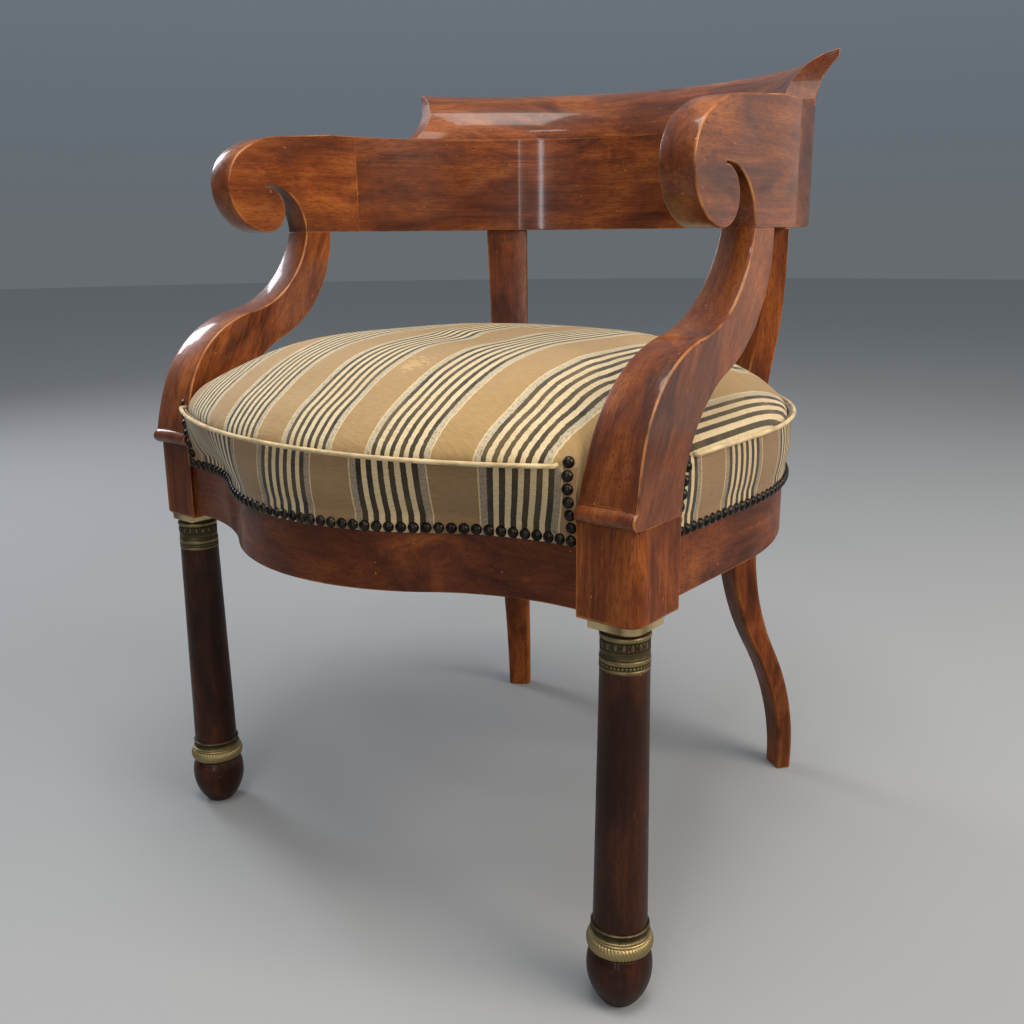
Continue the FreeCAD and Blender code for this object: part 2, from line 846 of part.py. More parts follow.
def crest_pegs(name, room):
    """Upright dowels through the joint of back rail and crest, or the holes for them."""
    room = as_size(room)
    radius = dim["dowel_radius"] + room
    length = dim["dowel_length"] + room * 2
    low = arm_top - length / 2
    pegs = []
    for index, angle in enumerate(CREST_DOWEL_ANGLES):
        x = back_middle * math.sin(math.radians(angle))
        y = back_middle * math.cos(math.radians(angle))
        pegs.append(peg(f"{name}_{index}", radius, length, x, y, low))
    return pegs


def crest_rail():
    ring = turned(
        "crest_ring", dim["crest_angle"] * 2,
        (back_inner, arm_top),
        (dim["back_radius"], arm_top, -dim["crest_hollow"]),
        (dim["crest_reach"], crest_top - dim["crest_tip"]),
        (dim["crest_reach"], crest_top, dim["crest_roll"]),
    )
    place(ring, angle=right_angle)
    run = float(dim["crest_end_run"])
    height = float(dim["crest_height"])
    radius = (run * run + height * height) / (2 * run)
    angle = math.radians(float(dim["crest_angle"]))
    outward = Vector(math.sin(angle), math.cos(angle), 0)
    forward = Vector(math.cos(angle), -math.sin(angle), 0)
    scoop = doc.addObject("Part::Cylinder", "crest_scoop")
    scoop.Radius = radius
    bind(scoop, "Height", dim["crest_reach"])
    start = outward * float(back_inner / 2) + forward * (radius - run)
    start.z = float(crest_top)
    scoop.Placement = FreeCAD.Placement(start, FreeCAD.Rotation(Vector(0, 0, 1), outward))
    node("crest_rail", cut(
        "crest_rail", ring, scoop, mirrored("crest_scoop_mirrored", scoop),
        *crest_pegs("crest_peg_hole", dim["fit"]),
    ))


def dowels():
    left = [
        arm_dowel(f"arm_dowel_{index}", share, dim["dowel_radius"], dim["dowel_length"])
        for index, share in enumerate(ARM_DOWEL_HEIGHTS)
    ]
    right = [mirrored(f"{item.Name}_mirrored", item) for item in left]
    node("arm_dowels", grouped("arm_dowel_set", left + right))
    node("crest_dowels", grouped("crest_dowel_set", crest_pegs("crest_peg", 0)))


# Upholstery. These pieces follow curves that change from level to level, so their solids are lofts.

def loose(label, shape):
    item = doc.addObject("Part::Feature", label)
    item.Shape = shape
    item.Placement = FreeCAD.Placement()
    return node(label, item)


seat_y = -float(dim["seat_setback"])
half_bow = float(block_inner)
gap = float(dim["soft_gap"])
cloth = float(dim["cloth_thick"])
piping_z = float(rail_top) + float(dim["border_height"])
skirt_z = float(rail_top) - float(dim["border_skirt"])
bow_angle = math.asin(float(bow_sine))


def bearing(centre, radius, angle):
    """A point at an angle from +Y towards +X about a centre on the middle line."""
    return Vector(radius * math.sin(angle), centre + radius * math.cos(angle), 0)


def arc_chain(centre, radius, start, end, count):
    """Arcs about one centre, each as its start, middle and end."""
    step = (end - start) / count
    return [
        tuple(bearing(centre, radius, start + step * (index + part)) for part in (0, 0.5, 1))
        for index in range(count)
    ]


def closing_runs(front, grow):
    """Joins a front line, given from left to right, round the sides and back of the seat."""
    side = float(dim["seat_radius"]) + grow
    left = Vector(side, float(block_rear), 0)
    left_end = Vector(side, seat_y, 0)
    right = Vector(-side, left.y, 0)
    right_end = Vector(-side, seat_y, 0)
    back = arc_chain(seat_y, side, -math.pi / 2, math.pi / 2, 4)
    return front + [(front[-1][-1], right), (right, right_end)] + back + [(left_end, left), (left, front[0][0])]


def rail_plan(grow):
    """The outside line of the seat rails, moved outwards by grow."""
    radius = float(bow_radius)
    middle = arc_chain(float(bow_front) + radius, radius + grow, math.pi - bow_angle, math.pi + bow_angle, 2)
    hollow_y = float(rail_end) - radius
    near = [point + Vector(half_bow, 0, 0) for point in arc_chain(hollow_y, radius - grow, 0, -bow_angle, 1)[0]]
    far = [point - Vector(half_bow, 0, 0) for point in arc_chain(hollow_y, radius - grow, bow_angle, 0, 1)[0]]
    return closing_runs([tuple(near)] + middle + [tuple(far)], grow)


def seam_plan(grow):
    """The line of the seam at the top of the border: one plain bow across the front."""
    apex = float(bow_front) - float(dim["seam_bow_lean"])
    end = float(rail_end) - float(dim["seam_lean"])
    sag = end - apex
    radius = (half_bow * half_bow + sag * sag) / (2 * sag)
    spread = math.asin(half_bow / radius)
    front = arc_chain(apex + radius, radius + grow, math.pi - spread, math.pi + spread, 4)
    return closing_runs(front, grow + float(dim["seam_lean"]))


def middle_plan(first, second, swell):
    """Runs half way between two plans, moved outwards from the middle of the seat."""
    runs = []
    for run_one, run_two in zip(first, second):
        points = [(one + two) / 2 for one, two in zip(run_one, run_two)]
        runs.append(tuple(point + (point - Vector(0, seat_y, 0)).normalize() * swell for point in points))
    return runs


def plan_wire(plan, height, scale=1.0):
    edges = []
    for run in plan:
        points = []
        for point in run:
            points.append(Vector(point.x * scale, seat_y + (point.y - seat_y) * scale, height))
        edges.append((Part.Arc(*points) if len(points) == 3 else Part.LineSegment(*points)).toShape())
    return Part.Wire(edges)


def border_solid(rail_grow, seam_grow):
    """The upright part of the seat, from the skirt that covers the rails up to the seam."""
    rail = rail_plan(rail_grow)
    seam = seam_plan(seam_grow)
    swell = middle_plan(rail, seam, float(dim["border_swell"]))
    skirt = Part.makeLoft([plan_wire(rail, skirt_z), plan_wire(rail, float(rail_top))], True, True)
    wall_wires = [plan_wire(rail, float(rail_top))]
    wall_wires += [plan_wire(swell, (float(rail_top) + piping_z) / 2), plan_wire(seam, piping_z)]
    return skirt.fuse(Part.makeLoft(wall_wires, True, False))


def crown_solid(grow, top):
    """The domed top: the seam's line drawn in step by step as it rises, along a quarter of an ellipse."""
    seam = seam_plan(grow)
    wires = []
    for step in CROWN_STEPS:
        angle = math.radians(step)
        wires.append(plan_wire(seam, piping_z + top * math.sin(angle), math.cos(angle)))
    return Part.makeLoft(wires, True, False)


def prism(corners, along):
    """A solid from a face whose corners are points, or pairs of an arc's middle and its end."""
    edges = []
    here = corners[0]
    for corner in corners[1:] + corners[:1]:
        if isinstance(corner, tuple):
            edges.append(Part.Arc(here, *corner).toShape())
            here = corner[1]
        else:
            edges.append(Part.LineSegment(here, corner).toShape())
            here = corner
    return Part.Face(Part.Wire(edges)).extrude(along)


def support_clearance():
    """The space of the left block and arm support, with room for cloth, as the seat meets it."""
    ahead = block_front * 2
    foot = (block_rear, block_top)

    def at(y, z):
        return Vector(half_bow - gap, float(y) + gap, float(z))

    return prism([
        at(ahead, block_base),
        at(block_rear, block_base),
        at(*foot),
        (at(*arc_middle(foot, rear_bend, rear_hollow)), at(*rear_bend)),
        at(ahead, rear_bend[1]),
    ], Vector(half_bow, 0, 0))


def post_clearance():
    """The space of the left rear post, with room for cloth, from its inner face outwards."""
    half = float(dim["post_top_width"])
    far = dim["crest_reach"] * 2
    waist = (dim["post_knee_inner"], dim["post_waist"])
    shoulder = (post_top_inner, dim["post_shoulder"])
    bend = dim["stile_swell"]

    def side_on(radius, height):
        return Vector(float(radius) - gap, -half, float(height))

    def front_on(aside, height):
        return Vector(0, float(aside), float(height))

    side = prism([
        side_on(dim["post_knee_inner"], dim["post_knee"]),
        side_on(far, dim["post_knee"]),
        side_on(far, shoulder[1]),
        side_on(*shoulder),
        (side_on(*arc_middle(shoulder, inner_turn, -bend)), side_on(*inner_turn)),
        (side_on(*arc_middle(inner_turn, waist, bend)), side_on(*waist)),
    ], Vector(0, 2 * half, 0))
    top_half = dim["post_top_width"] / 2 + gap
    splay = dim["post_splay"]
    front = prism([
        front_on(-post_half - gap, dim["post_knee"]),
        front_on(post_half + gap, dim["post_knee"]),
        front_on(post_half + gap, rail_top),
        front_on(top_half - splay, arm_base),
        front_on(-top_half - splay, arm_base),
        front_on(-post_half - gap, rail_top),
    ], Vector(float(far), 0, 0))
    space = side.common(front)
    space.rotate(Vector(), Vector(0, 0, 1), float(post_bearing))
    space.translate(Vector(0, seat_y, 0))
    return space


def both(shape):
    return [shape, shape.mirror(Vector(), Vector(1, 0, 0))]


def webbing(obstacles):
    """Straps on top of the rails, front to back, and side to side over them."""
    width = float(dim["webbing_width"])
    thick = float(dim["webbing_thick"])
    base = float(rail_top)
    reach = 4 * half_bow
    held = Part.Face(plan_wire(rail_plan(-float(dim["seat_rail_thick"]) / 2), base))
    held = held.extrude(Vector(0, 0, 2 * thick)).cut(obstacles)
    lengthwise = []
    crosswise = []
    for row in WEBBING_ROWS:
        aside = row * float(dim["webbing_pitch"]) - width / 2
        lengthwise.append(Part.makeBox(width, reach, thick, Vector(aside, -reach / 2, base)))
        crosswise.append(Part.makeBox(reach, width, thick, Vector(-reach / 2, seat_y + aside, base + thick)))
    loose("webbing_lengthwise", Part.makeCompound([strap.common(held) for strap in lengthwise]))
    loose("webbing_crosswise", Part.makeCompound([strap.common(held) for strap in crosswise]))


def upholstery():
    """Webbing, hessian, stuffing, border, cover and piping, each cut clear of the posts and supports."""
    obstacles = both(support_clearance()) + both(post_clearance())
    webbing(obstacles)
    web_top = float(rail_top) + 2 * float(dim["webbing_thick"])
    hessian_top = web_top + float(dim["hessian_thick"])
    crown = float(dim["crown_height"])
    flat = Part.Face(plan_wire(rail_plan(-cloth), web_top))
    loose("hessian", flat.extrude(Vector(0, 0, hessian_top - web_top)).cut(obstacles))
    span = 4 * half_bow
    below = Part.makeBox(span, span, hessian_top, Vector(-span / 2, -span / 2, 0))
    filling = border_solid(0, -cloth - gap).cut([below]).fuse(crown_solid(-cloth - gap, crown - cloth - gap))
    loose("stuffing", filling.cut(obstacles).removeSplitter())
    border = border_solid(cloth + gap, 0).cut([border_solid(gap, -cloth)]).cut(obstacles)
    loose("seat_border", border)
    cover = crown_solid(0, crown).cut([crown_solid(-cloth, crown - cloth)]).cut(obstacles)
    loose("seat_cover", cover)
    head = 2 * (float(dim["nail_radius"]) + gap)
    stops = [obstacles[0].translated(Vector(-head, 0, 0)), obstacles[0].translated(Vector(0, head, 0))]
    stops += [stop.mirror(Vector(), Vector(1, 0, 0)) for stop in stops]
    loose("piping", piping().cut(obstacles + stops))
    return border, cover


def piping():
    """A round cord along the seam, in front, at each side and behind."""
    radius = float(dim["piping_radius"])
    plan = seam_plan(radius + gap)
    runs = [plan[0:4], [plan[5], plan[6], plan[7], plan[8], plan[9], plan[10]]]
    tubes = []
    for run in runs:
        path = Part.Wire(plan_wire(run, piping_z).Edges)
        start = path.Edges[0]
        heading = start.tangentAt(start.FirstParameter)
        ring = Part.Wire(Part.makeCircle(radius, start.valueAt(start.FirstParameter), heading))
        tubes.append(path.makePipeShell([ring], True, False))
    return Part.makeCompound(tubes)


def dome(point, outward):
    """A nail's head that sits flat on a surface at a point."""
    radius = float(dim["nail_radius"])
    height = float(dim["nail_height"])
    ball = (radius * radius + height * height) / (2 * height)
    latitude = math.degrees(math.asin((ball - height) / ball))
    return Part.makeSphere(ball, point - outward * (ball - height), outward, latitude, 90, 360)


def nail_row(run, side):
    """Heads spaced evenly along a level run, facing to its left (-1) or right (1)."""
    wire = plan_wire(run, skirt_z + float(dim["nail_line"]))
    count = max(2, round(wire.Length / float(dim["nail_pitch"])))
    points = wire.discretize(Number=count + 1)
    heads = []
    for before, after in zip(points, points[1:]):
        heading = (after - before).normalize()
        heads.append(dome((before + after) / 2, Vector(heading.y, -heading.x, 0) * side))
    return heads


def mirror_heads(heads):
    return [head.mirror(Vector(), Vector(1, 0, 0)) for head in heads]


def support_rear(level):
    """How far back the left support reaches at a level of the seat's border."""
    if level <= float(block_top):
        return float(block_rear)
    foot = (block_rear, block_top)
    middle = arc_middle(foot, rear_bend, rear_hollow)
    arc = Part.Arc(*[Vector(0, float(y), float(z)) for y, z in (foot, middle, rear_bend)]).toShape()
    far = 4 * half_bow
    line = Part.LineSegment(Vector(0, -far, level), Vector(0, far, level)).toShape()
    return arc.distToShape(line)[1][0][0].y


def face_point(panels, eye, ahead):
    """Where a sight line leaves the outermost panel that it meets."""
    sight = Part.LineSegment(eye, eye + ahead).toShape()
    hits = [vertex.Point for panel in panels for vertex in panel.common(sight).Vertexes]
    return max(hits, key=lambda point: (point - eye).Length)


def nails(panels):
    """Dome nails round the rails, and up the border beside each support and post."""
    clear = float(dim["nail_radius"]) + gap
    side = float(dim["seat_radius"]) + cloth + 2 * gap
    seat = Vector(0, seat_y, 0)
    post = math.radians(float(dim["post_angle"]))
    beside = math.asin((float(dim["post_top_width"]) / 2 + clear) / side)
    flank = [(Vector(side, float(block_rear) + clear, 0), Vector(side, seat_y, 0))]
    flank += arc_chain(seat_y, side, math.pi / 2, post + beside, 2)
    flank_heads = nail_row(flank, 1)
    rail_heads = nail_row(rail_plan(cloth + 2 * gap)[0:4], -1) + flank_heads + mirror_heads(flank_heads)
    rail_heads += nail_row(arc_chain(seat_y, side, beside - post, post - beside, 2), -1)
    loose("rail_nails", Part.makeCompound(rail_heads))

    far = 2 * side
    heads = []
    for index in range(1, NAILS_BESIDE_SUPPORT + 1):
        level = skirt_z + float(dim["nail_line"]) + index * float(dim["nail_pitch"])
        behind = support_rear(level) + clear
        sights = [(Vector(half_bow - clear, seat_y, level), Vector(0, -far, 0), -1)]
        if index <= NAILS_BEHIND_SUPPORT:
            sights.append((Vector(0, behind, level), Vector(far, 0, 0), 1))
        if index <= NAILS_BESIDE_POST:
            sights.append((seat + Vector(0, 0, level), bearing(0, far, post + beside), -1))
            sights.append((seat + Vector(0, 0, level), bearing(0, far, post - beside), 1))
        for eye, ahead, away in sights:
            up = Vector(0, 0, clear / 2)
            aside = up.cross(ahead).normalize() * (away * clear)
            low, high, beyond = (face_point(panels, eye + step, ahead) for step in (-up, up, aside))
            surface = (low + high) / 2
            outward = (beyond - surface).cross(high - low).normalize() * away
            heads.append(dome(surface + outward * gap, outward))
    loose("post_nails", Part.makeCompound(heads + mirror_heads(heads)))


front_leg()
corner_block()
front_rail()
side_rail()
rear_rail()
rear_post()
arm_support()
arm()
back_rail()
crest_rail()
dowels()
nails(upholstery())
doc.recompute()

faults = [item.Name for item in doc.Objects if "Invalid" in item.State or "Error" in item.State]
for item in nodes:
    if item.Shape.isNull() or not item.Shape.isValid() or not item.Shape.Solids:
        faults.append(item.Label)
if faults:
    raise SystemExit(f"failed pieces: {faults}")

os.makedirs("parts", exist_ok=True)
for item in nodes:
    item.Shape.exportStep(f"parts/{item.Label}.step")
    print(f"{item.Label}: {len(item.Shape.Solids)} solids, {item.Shape.Volume / 1000:.1f} cm3")
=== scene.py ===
# %% [markdown]
# This lesson dresses a mahogany tub chair with a stuffed, striped seat. The chair's measured solids
# are loaded first and stay where they are. Each piece made here sits where its solid sits and adds
# what a solid leaves out: eased arrises, grain, cast ornament, stuffing and woven stripes.

# %% Load the chair's solids
import math
import random

import bmesh
import bpy
from mathutils import Matrix, Vector, noise
from mathutils.bvhtree import BVHTree


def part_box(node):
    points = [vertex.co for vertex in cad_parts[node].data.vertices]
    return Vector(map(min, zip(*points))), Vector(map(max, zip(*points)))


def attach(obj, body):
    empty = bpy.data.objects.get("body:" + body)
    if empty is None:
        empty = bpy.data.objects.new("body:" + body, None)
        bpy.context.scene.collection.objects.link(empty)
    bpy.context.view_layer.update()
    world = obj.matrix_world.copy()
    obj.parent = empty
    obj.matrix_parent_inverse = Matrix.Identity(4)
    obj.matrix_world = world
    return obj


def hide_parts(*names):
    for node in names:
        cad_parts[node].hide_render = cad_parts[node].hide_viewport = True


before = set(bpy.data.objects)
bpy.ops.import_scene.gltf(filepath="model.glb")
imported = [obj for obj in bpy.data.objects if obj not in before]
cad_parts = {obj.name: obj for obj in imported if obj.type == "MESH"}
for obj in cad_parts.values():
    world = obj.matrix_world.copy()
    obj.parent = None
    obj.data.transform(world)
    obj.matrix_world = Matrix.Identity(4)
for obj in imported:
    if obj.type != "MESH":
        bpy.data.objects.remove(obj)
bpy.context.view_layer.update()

# %% [markdown]
# A few small helpers serve every finish. Colours are written as the sRGB codes a colour chart gives,
# and shaders work in linear light, so one function converts them. Nodes could each be created in
# three or four lines, but one function that creates a node, sets it and links it keeps a material
# readable as a list of its layers. Patterns are given by the real size of one grain or thread.

# %% Helpers for finishes
def linear(code):
    """An sRGB hex colour as the linear values that a shader takes."""
    shares = [int(code[place:place + 2], 16) / 255 for place in (1, 3, 5)]
    return [s / 12.92 if s <= 0.04045 else ((s + 0.055) / 1.055) ** 2.4 for s in shares] + [1.0]


def per_mm(size):
    """How many times a pattern of this size in millimetres fits in a metre."""
    return 1000 / size


def per_mm_each(*sizes):
    """The same along each axis of a pattern."""
    return [per_mm(size) for size in sizes]


def feed(tree, node, inputs):
    """Sets a node's inputs, and links those that are given as sockets."""
    for socket, value in inputs.items():
        if isinstance(value, bpy.types.NodeSocket):
            tree.links.new(value, node.inputs[socket])
        else:
            node.inputs[socket].default_value = value


def add(tree, kind, inputs=None, stops=None, **settings):
    """Adds a node and sets its properties, its colour stops and its inputs."""
    node = tree.nodes.new(kind)
    for name, value in settings.items():
        setattr(node, name, value)
    for index, (place, code) in enumerate(stops or []):
        elements = node.color_ramp.elements
        element = elements[index] if index < 2 else elements.new(place)
        element.position = place
        element.color = linear(code)
    feed(tree, node, inputs or {})
    return node


def new_finish(name):
    """A material with its tree and its one surface shader."""
    finish = bpy.data.materials.new(name)
    finish.use_nodes = True
    return finish, finish.node_tree, finish.node_tree.nodes["Principled BSDF"]


# %% [markdown]
# Old wood and worn cloth are built up of many faint layers. Each could be written out node by node, but
# they differ only in their sizes and strengths, so two functions read them from tables: one grows the
# mottled patterns, the other lays tints over a colour, each as strong as its pattern says.

# %% Layers of a finish
def grown(tree, vector, table):
    """Patterns by name, from millimetres along three axes, detail, roughness and distortion."""
    patterns = {}
    for layer, (sizes, detail, roughness, distortion) in table.items():
        grid = add(tree, "ShaderNodeMapping", {"Vector": vector, "Scale": per_mm_each(*sizes)})
        look = {"Scale": 1, "Detail": detail, "Roughness": roughness, "Distortion": distortion}
        patterns[layer] = add(tree, "ShaderNodeTexNoise", {"Vector": grid.outputs[0], **look}).outputs[0]
    return patterns


def tint_over(tree, colour, tints):
    """Lays tints over a colour: what each follows, its range, its share at both ends, its mask, its code."""
    for value, (low, high), (at_low, at_high), mask, code in tints:
        span = {"From Min": low, "From Max": high, "To Min": at_low, "To Max": at_high}
        share = add(tree, "ShaderNodeMapRange", {"Value": value, **span}).outputs[0]
        if mask is not None:
            share = add(tree, "ShaderNodeMath", {0: share, 1: mask}, operation="MULTIPLY").outputs[0]
        mix = add(tree, "ShaderNodeMix", {0: share, 6: colour, 7: linear(code)}, data_type="RGBA")
        colour = mix.outputs[2]
    return colour


# %% [markdown]
# The show wood is mahogany under old shellac, rubbed up to a soft mirror. Its grain runs along each
# member, also round the bends, so the pattern can't read plain coordinates. Each wooden piece will
# carry an attribute named grain that holds metres along, across and through the member. Noises
# stretched along it give the broad figure, the streaks and the short dark pores. A second attribute,
# arris, marks the eased edges, which are painted a lighter orange: partly where handling has worn the
# polish, partly as a painted highlight where the edges catch the light. The same layers in other tones
# and with less polish make the waxed frame and the darkened legs.

# %% Polished mahogany
# Real pores are about 0.2 mm wide; they are drawn 0.9 mm wide so that they show.
WOOD_LAYERS = {
    "figure": ((120, 38, 38), 4, 0.62, 0.9),
    "streak": ((170, 4.5, 4.5), 5, 0.65, 0.3),
    "pores": ((9, 0.9, 0.9), 2, 0.5, 0),
    "cloud": ((210, 90, 90), 3, 0.5, 0),
    "knocks": ((7, 3.5, 3.5), 3, 0.5, 0),
    "rubbed": ((28, 28, 28), 4, 0.5, 0)}


def polished_wood(name, deep, middle, light, worn, gloss, polish, shine):
    # French-polished mahogany: a clear coat over red-brown wood, so reflections are crisp and untinted.
    finish, tree, shader = new_finish(name)
    grain = add(tree, "ShaderNodeAttribute", attribute_name="grain").outputs["Vector"]
    arris = add(tree, "ShaderNodeAttribute", attribute_name="arris").outputs["Fac"]
    layer = grown(tree, grain, WOOD_LAYERS)
    blend = add(tree, "ShaderNodeMix", {0: 0.30, 2: layer["figure"], 3: layer["streak"]})
    tone = add(tree, "ShaderNodeValToRGB", {"Fac": blend.outputs[0]},
               stops=[(0.34, deep), (0.66, light), (0.50, middle)])
    colour = tint_over(tree, tone.outputs[0], (
        (layer["cloud"], (0.40, 0.66), (0, 0.55), None, deep),
        (layer["pores"], (0.36, 0.50), (0.55, 0), None, deep),
        # The eased edges are painted lighter: partly worn polish, partly a painted highlight along the
        # arrises.
        (layer["rubbed"], (0.38, 0.70), (0, 0.8), arris, worn),
        (layer["knocks"], (0.735, 0.76), (0, 0.7), None, worn)))
    haze = add(tree, "ShaderNodeMapRange", {"Value": layer["rubbed"], "From Min": 0.3, "From Max": 0.7,
                                            "To Min": gloss, "To Max": gloss + 0.16})
    ripple = add(tree, "ShaderNodeBump", {"Height": layer["rubbed"], "Strength": 0.25, "Distance": 0.0006})
    open_pores = add(tree, "ShaderNodeBump", {"Height": layer["pores"], "Strength": 0.12, "Distance": 0.0003,
                                              "Normal": ripple.outputs[0]})
    feed(tree, shader, {"Base Color": colour, "Roughness": haze.outputs[0], "Normal": open_pores.outputs[0],
                        "IOR": 1.45, "Specular IOR Level": shine, "Coat Weight": polish,
                        "Coat Roughness": 0.09})
    return finish


mahogany = polished_wood(
    "french_polished_mahogany", "#371608", "#773a14", "#a05a24", "#bb793c", 0.34, 0.38, 0.25)
# Below the seat line the polish has worn down to wax, which shines less.
waxed_mahogany = polished_wood(
    "waxed_mahogany", "#341406", "#713612", "#9a5522", "#b87538", 0.40, 0.14, 0.16)
dark_mahogany = polished_wood(
    "darkened_turned_mahogany", "#190a05", "#30160b", "#4c2714", "#94704c", 0.36, 0.10, 0.14)
print("wood finishes:", mahogany.name, waxed_mahogany.name, dark_mahogany.name)

# %% [markdown]
# A solid arrives as loose triangles. Modelling each member anew would risk a place that differs from
# the solid's, so each is a copy: it is welded, and its flat faces are made whole again. A bent or tall
# member is then cut by planes, because a face that spans a whole bend can't be eased or shaded well.

# %% Copy a solid and cut it
def cut(bm, place, square, reach=0.0002):
    """Cuts all of a mesh by the plane that goes through a place, square to a direction."""
    geometry = bm.verts[:] + bm.edges[:] + bm.faces[:]
    bmesh.ops.bisect_plane(bm, geom=geometry, dist=reach, plane_co=place, plane_no=square)


def whole_faces(node):
    """A welded copy of a solid with its triangles joined into whole faces."""
    bm = bmesh.new()
    bm.from_mesh(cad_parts[node].data)
    bmesh.ops.remove_doubles(bm, verts=bm.verts, dist=0.00002)
    bmesh.ops.dissolve_limit(bm, angle_limit=math.radians(0.4), verts=bm.verts, edges=bm.edges)
    return bm


def cut_radially(bm, centre, count):
    """Cuts a bent member by upright planes through its centre, so that no face spans much of the bend."""
    for index in range(count):
        angle = math.pi * index / count
        cut(bm, centre, (math.cos(angle), math.sin(angle), 0))


def cut_level(bm, step):
    """Cuts a tall member by level planes, so that a long side becomes a ladder of short faces."""
    low, high = (pick(point.co.z for point in bm.verts) for pick in (min, max))
    for index in range(1, int((high - low) / step) + 1):
        cut(bm, (0, 0, low + index * step), (0, 0, 1))


# %% [markdown]
# Each dressed piece is handed over in the same way: it gets its finish, rides on the chair, and hides
# the solids it stands for. A modifier could stay live, but later steps read the faces that it makes,
# so a second function puts its result into the mesh.

# %% Make a piece and settle it
def new_piece(bm, name, finish, slot, *nodes):
    """Makes a piece of a bmesh that rides on the chair and stands for the solids it replaces."""
    mesh = bpy.data.meshes.new(name)
    bm.to_mesh(mesh)
    bm.free()
    mesh.materials.append(finish)
    mesh.shade_smooth()
    piece = bpy.data.objects.new(name, mesh)
    bpy.context.scene.collection.objects.link(piece)
    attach(piece, "root")
    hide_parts(*nodes)
    return piece


def settle(piece):
    """Puts what the modifiers make of a piece into its own mesh."""
    depsgraph = bpy.context.evaluated_depsgraph_get()
    mesh = bpy.data.meshes.new_from_object(piece.evaluated_get(depsgraph), depsgraph=depsgraph)
    piece.modifiers.clear()
    piece.data = mesh
    return mesh


# %% [markdown]
# A joiner never leaves a knife-sharp edge: each arris is eased, and two hundred years of sleeves have
# rounded it more. A Bevel modifier rounds each convex edge by a weight, because a joint has to stay
# tight while an open edge is soft. Bevelling in one step with weights keeps the corners clean where a
# soft edge runs into a tight one. The new faces are marked for the finish by a second material slot,
# which goes again at the end.

# %% Ease the arrises and lay the grain
SHARP = math.radians(24)
WIDEST_EASE = 0.006
# An arris up to this wide gets the full lighter colour, worn polish and painted highlight; a wider one in
# proportion less.
FULL_WEAR_AND_HIGHLIGHT_WIDTH = 0.0016


def ease(piece, width_at):
    """Rounds each convex edge by the width that its middle calls for, and marks the new faces as arrises."""
    bm = bmesh.new()
    bm.from_mesh(piece.data)
    weight = bm.edges.layers.float.new("bevel_weight_edge")
    for edge in bm.edges:
        if edge.is_convex and edge.calc_face_angle(0) > SHARP:
            edge[weight] = width_at((edge.verts[0].co + edge.verts[1].co) / 2) / WIDEST_EASE
    bm.to_mesh(piece.data)
    bm.free()
    piece.data.materials.append(piece.data.materials[0])
    rounding = piece.modifiers.new("eased_arrises", "BEVEL")
    rounding.limit_method = "WEIGHT"
    rounding.width = WIDEST_EASE
    rounding.segments = 3
    rounding.profile = 0.5
    rounding.use_clamp_overlap = False
    rounding.material = 1
    mesh = settle(piece)
    arris = mesh.attributes.new("arris", "FLOAT", "FACE")
    for face, mark in zip(mesh.polygons, arris.data):
        mark.value = face.material_index * min(1, FULL_WEAR_AND_HIGHLIGHT_WIDTH / width_at(face.center))
        face.material_index = 0
    mesh.materials.pop()


def lay_grain(piece, grain_at):
    """Writes each point's place in the wood: metres along, across and through the member."""
    grain = piece.data.attributes.new("grain", "FLOAT_VECTOR", "POINT")
    for point, mark in zip(piece.data.vertices, grain.data):
        mark.vector = grain_at(point.co)


def flat_stays_flat(piece):
    """Lets large faces set the shading, so that only the eased edges look round."""
    piece.data.set_sharp_from_angle(angle=math.radians(35))
    shading = piece.modifiers.new("flat_stays_flat", "WEIGHTED_NORMAL")
    shading.keep_sharp = True


# %% [markdown]
# Each member has its own grain and its own tight places. Straight members were sawn with the grain
# along their length, bent ones follow the ring they were built up on. A width of a third of a
# millimetre stands where one member meets another, and over one millimetre where hands reach. Below
# the seat the rear legs were shaved almost oval, so their edges are eased the most.

# %% Grain and easing by place
SEAT_CENTRE = Vector((0, -0.03, 0))
BACK_CENTRE = Vector((0, 0, 0))
SEAT_RING, BACK_RADIUS = 0.285, 0.28
TIGHT = 0.0003
# Heights where members meet, and a hair that takes in what lies just beside a joint.
BLOCK_BASE, LEG_TOP, FOOT, NECK, RAIL_TOP = 0.351, 0.358, 0.430, 0.648, 0.756
HAIR = 0.0005
# How far forward or back the neck of a support and the joint of arm and back rail reach.
NECK_FRONT, NECK_BACK, ARM_JOINT, BACK_JOINT = -0.0455, -0.004, 0.033, 0.046


def even(width):
    """The same width everywhere."""
    return lambda point: width


def ring_grain(centre, radius):
    def at(point):
        arm = point - centre
        return (radius * math.atan2(arm.x, arm.y), point.z, Vector((arm.x, arm.y)).length)
    return at


def straight_grain(along, across):
    along, across = Vector(along).normalized(), Vector(across).normalized()
    through = along.cross(across)
    return lambda point: (point.dot(along), point.dot(across) + 0.3, point.dot(through) + 0.7)


def arm_grain(point):
    run = point.y if point.y < 0 else BACK_RADIUS * math.atan2(point.y, abs(point.x))
    return (run + math.copysign(0.6, point.x), point.z, abs(point.x))


def arm_ease(point):
    at_neck = point.z < NECK + HAIR and NECK_FRONT < point.y < NECK_BACK
    return TIGHT if point.y > ARM_JOINT or at_neck else 0.0013


def support_ease(point):
    return TIGHT if point.z > NECK - HAIR or point.z < FOOT + HAIR else 0.0014


def block_ease(point):
    return TIGHT if point.z > FOOT - HAIR else 0.0026 if point.z < BLOCK_BASE + HAIR else 0.0013


def post_ease(point):
    if point.z < 0.002:
        return 0.0025
    return 0.0046 if point.z < LEG_TOP else 0.0014


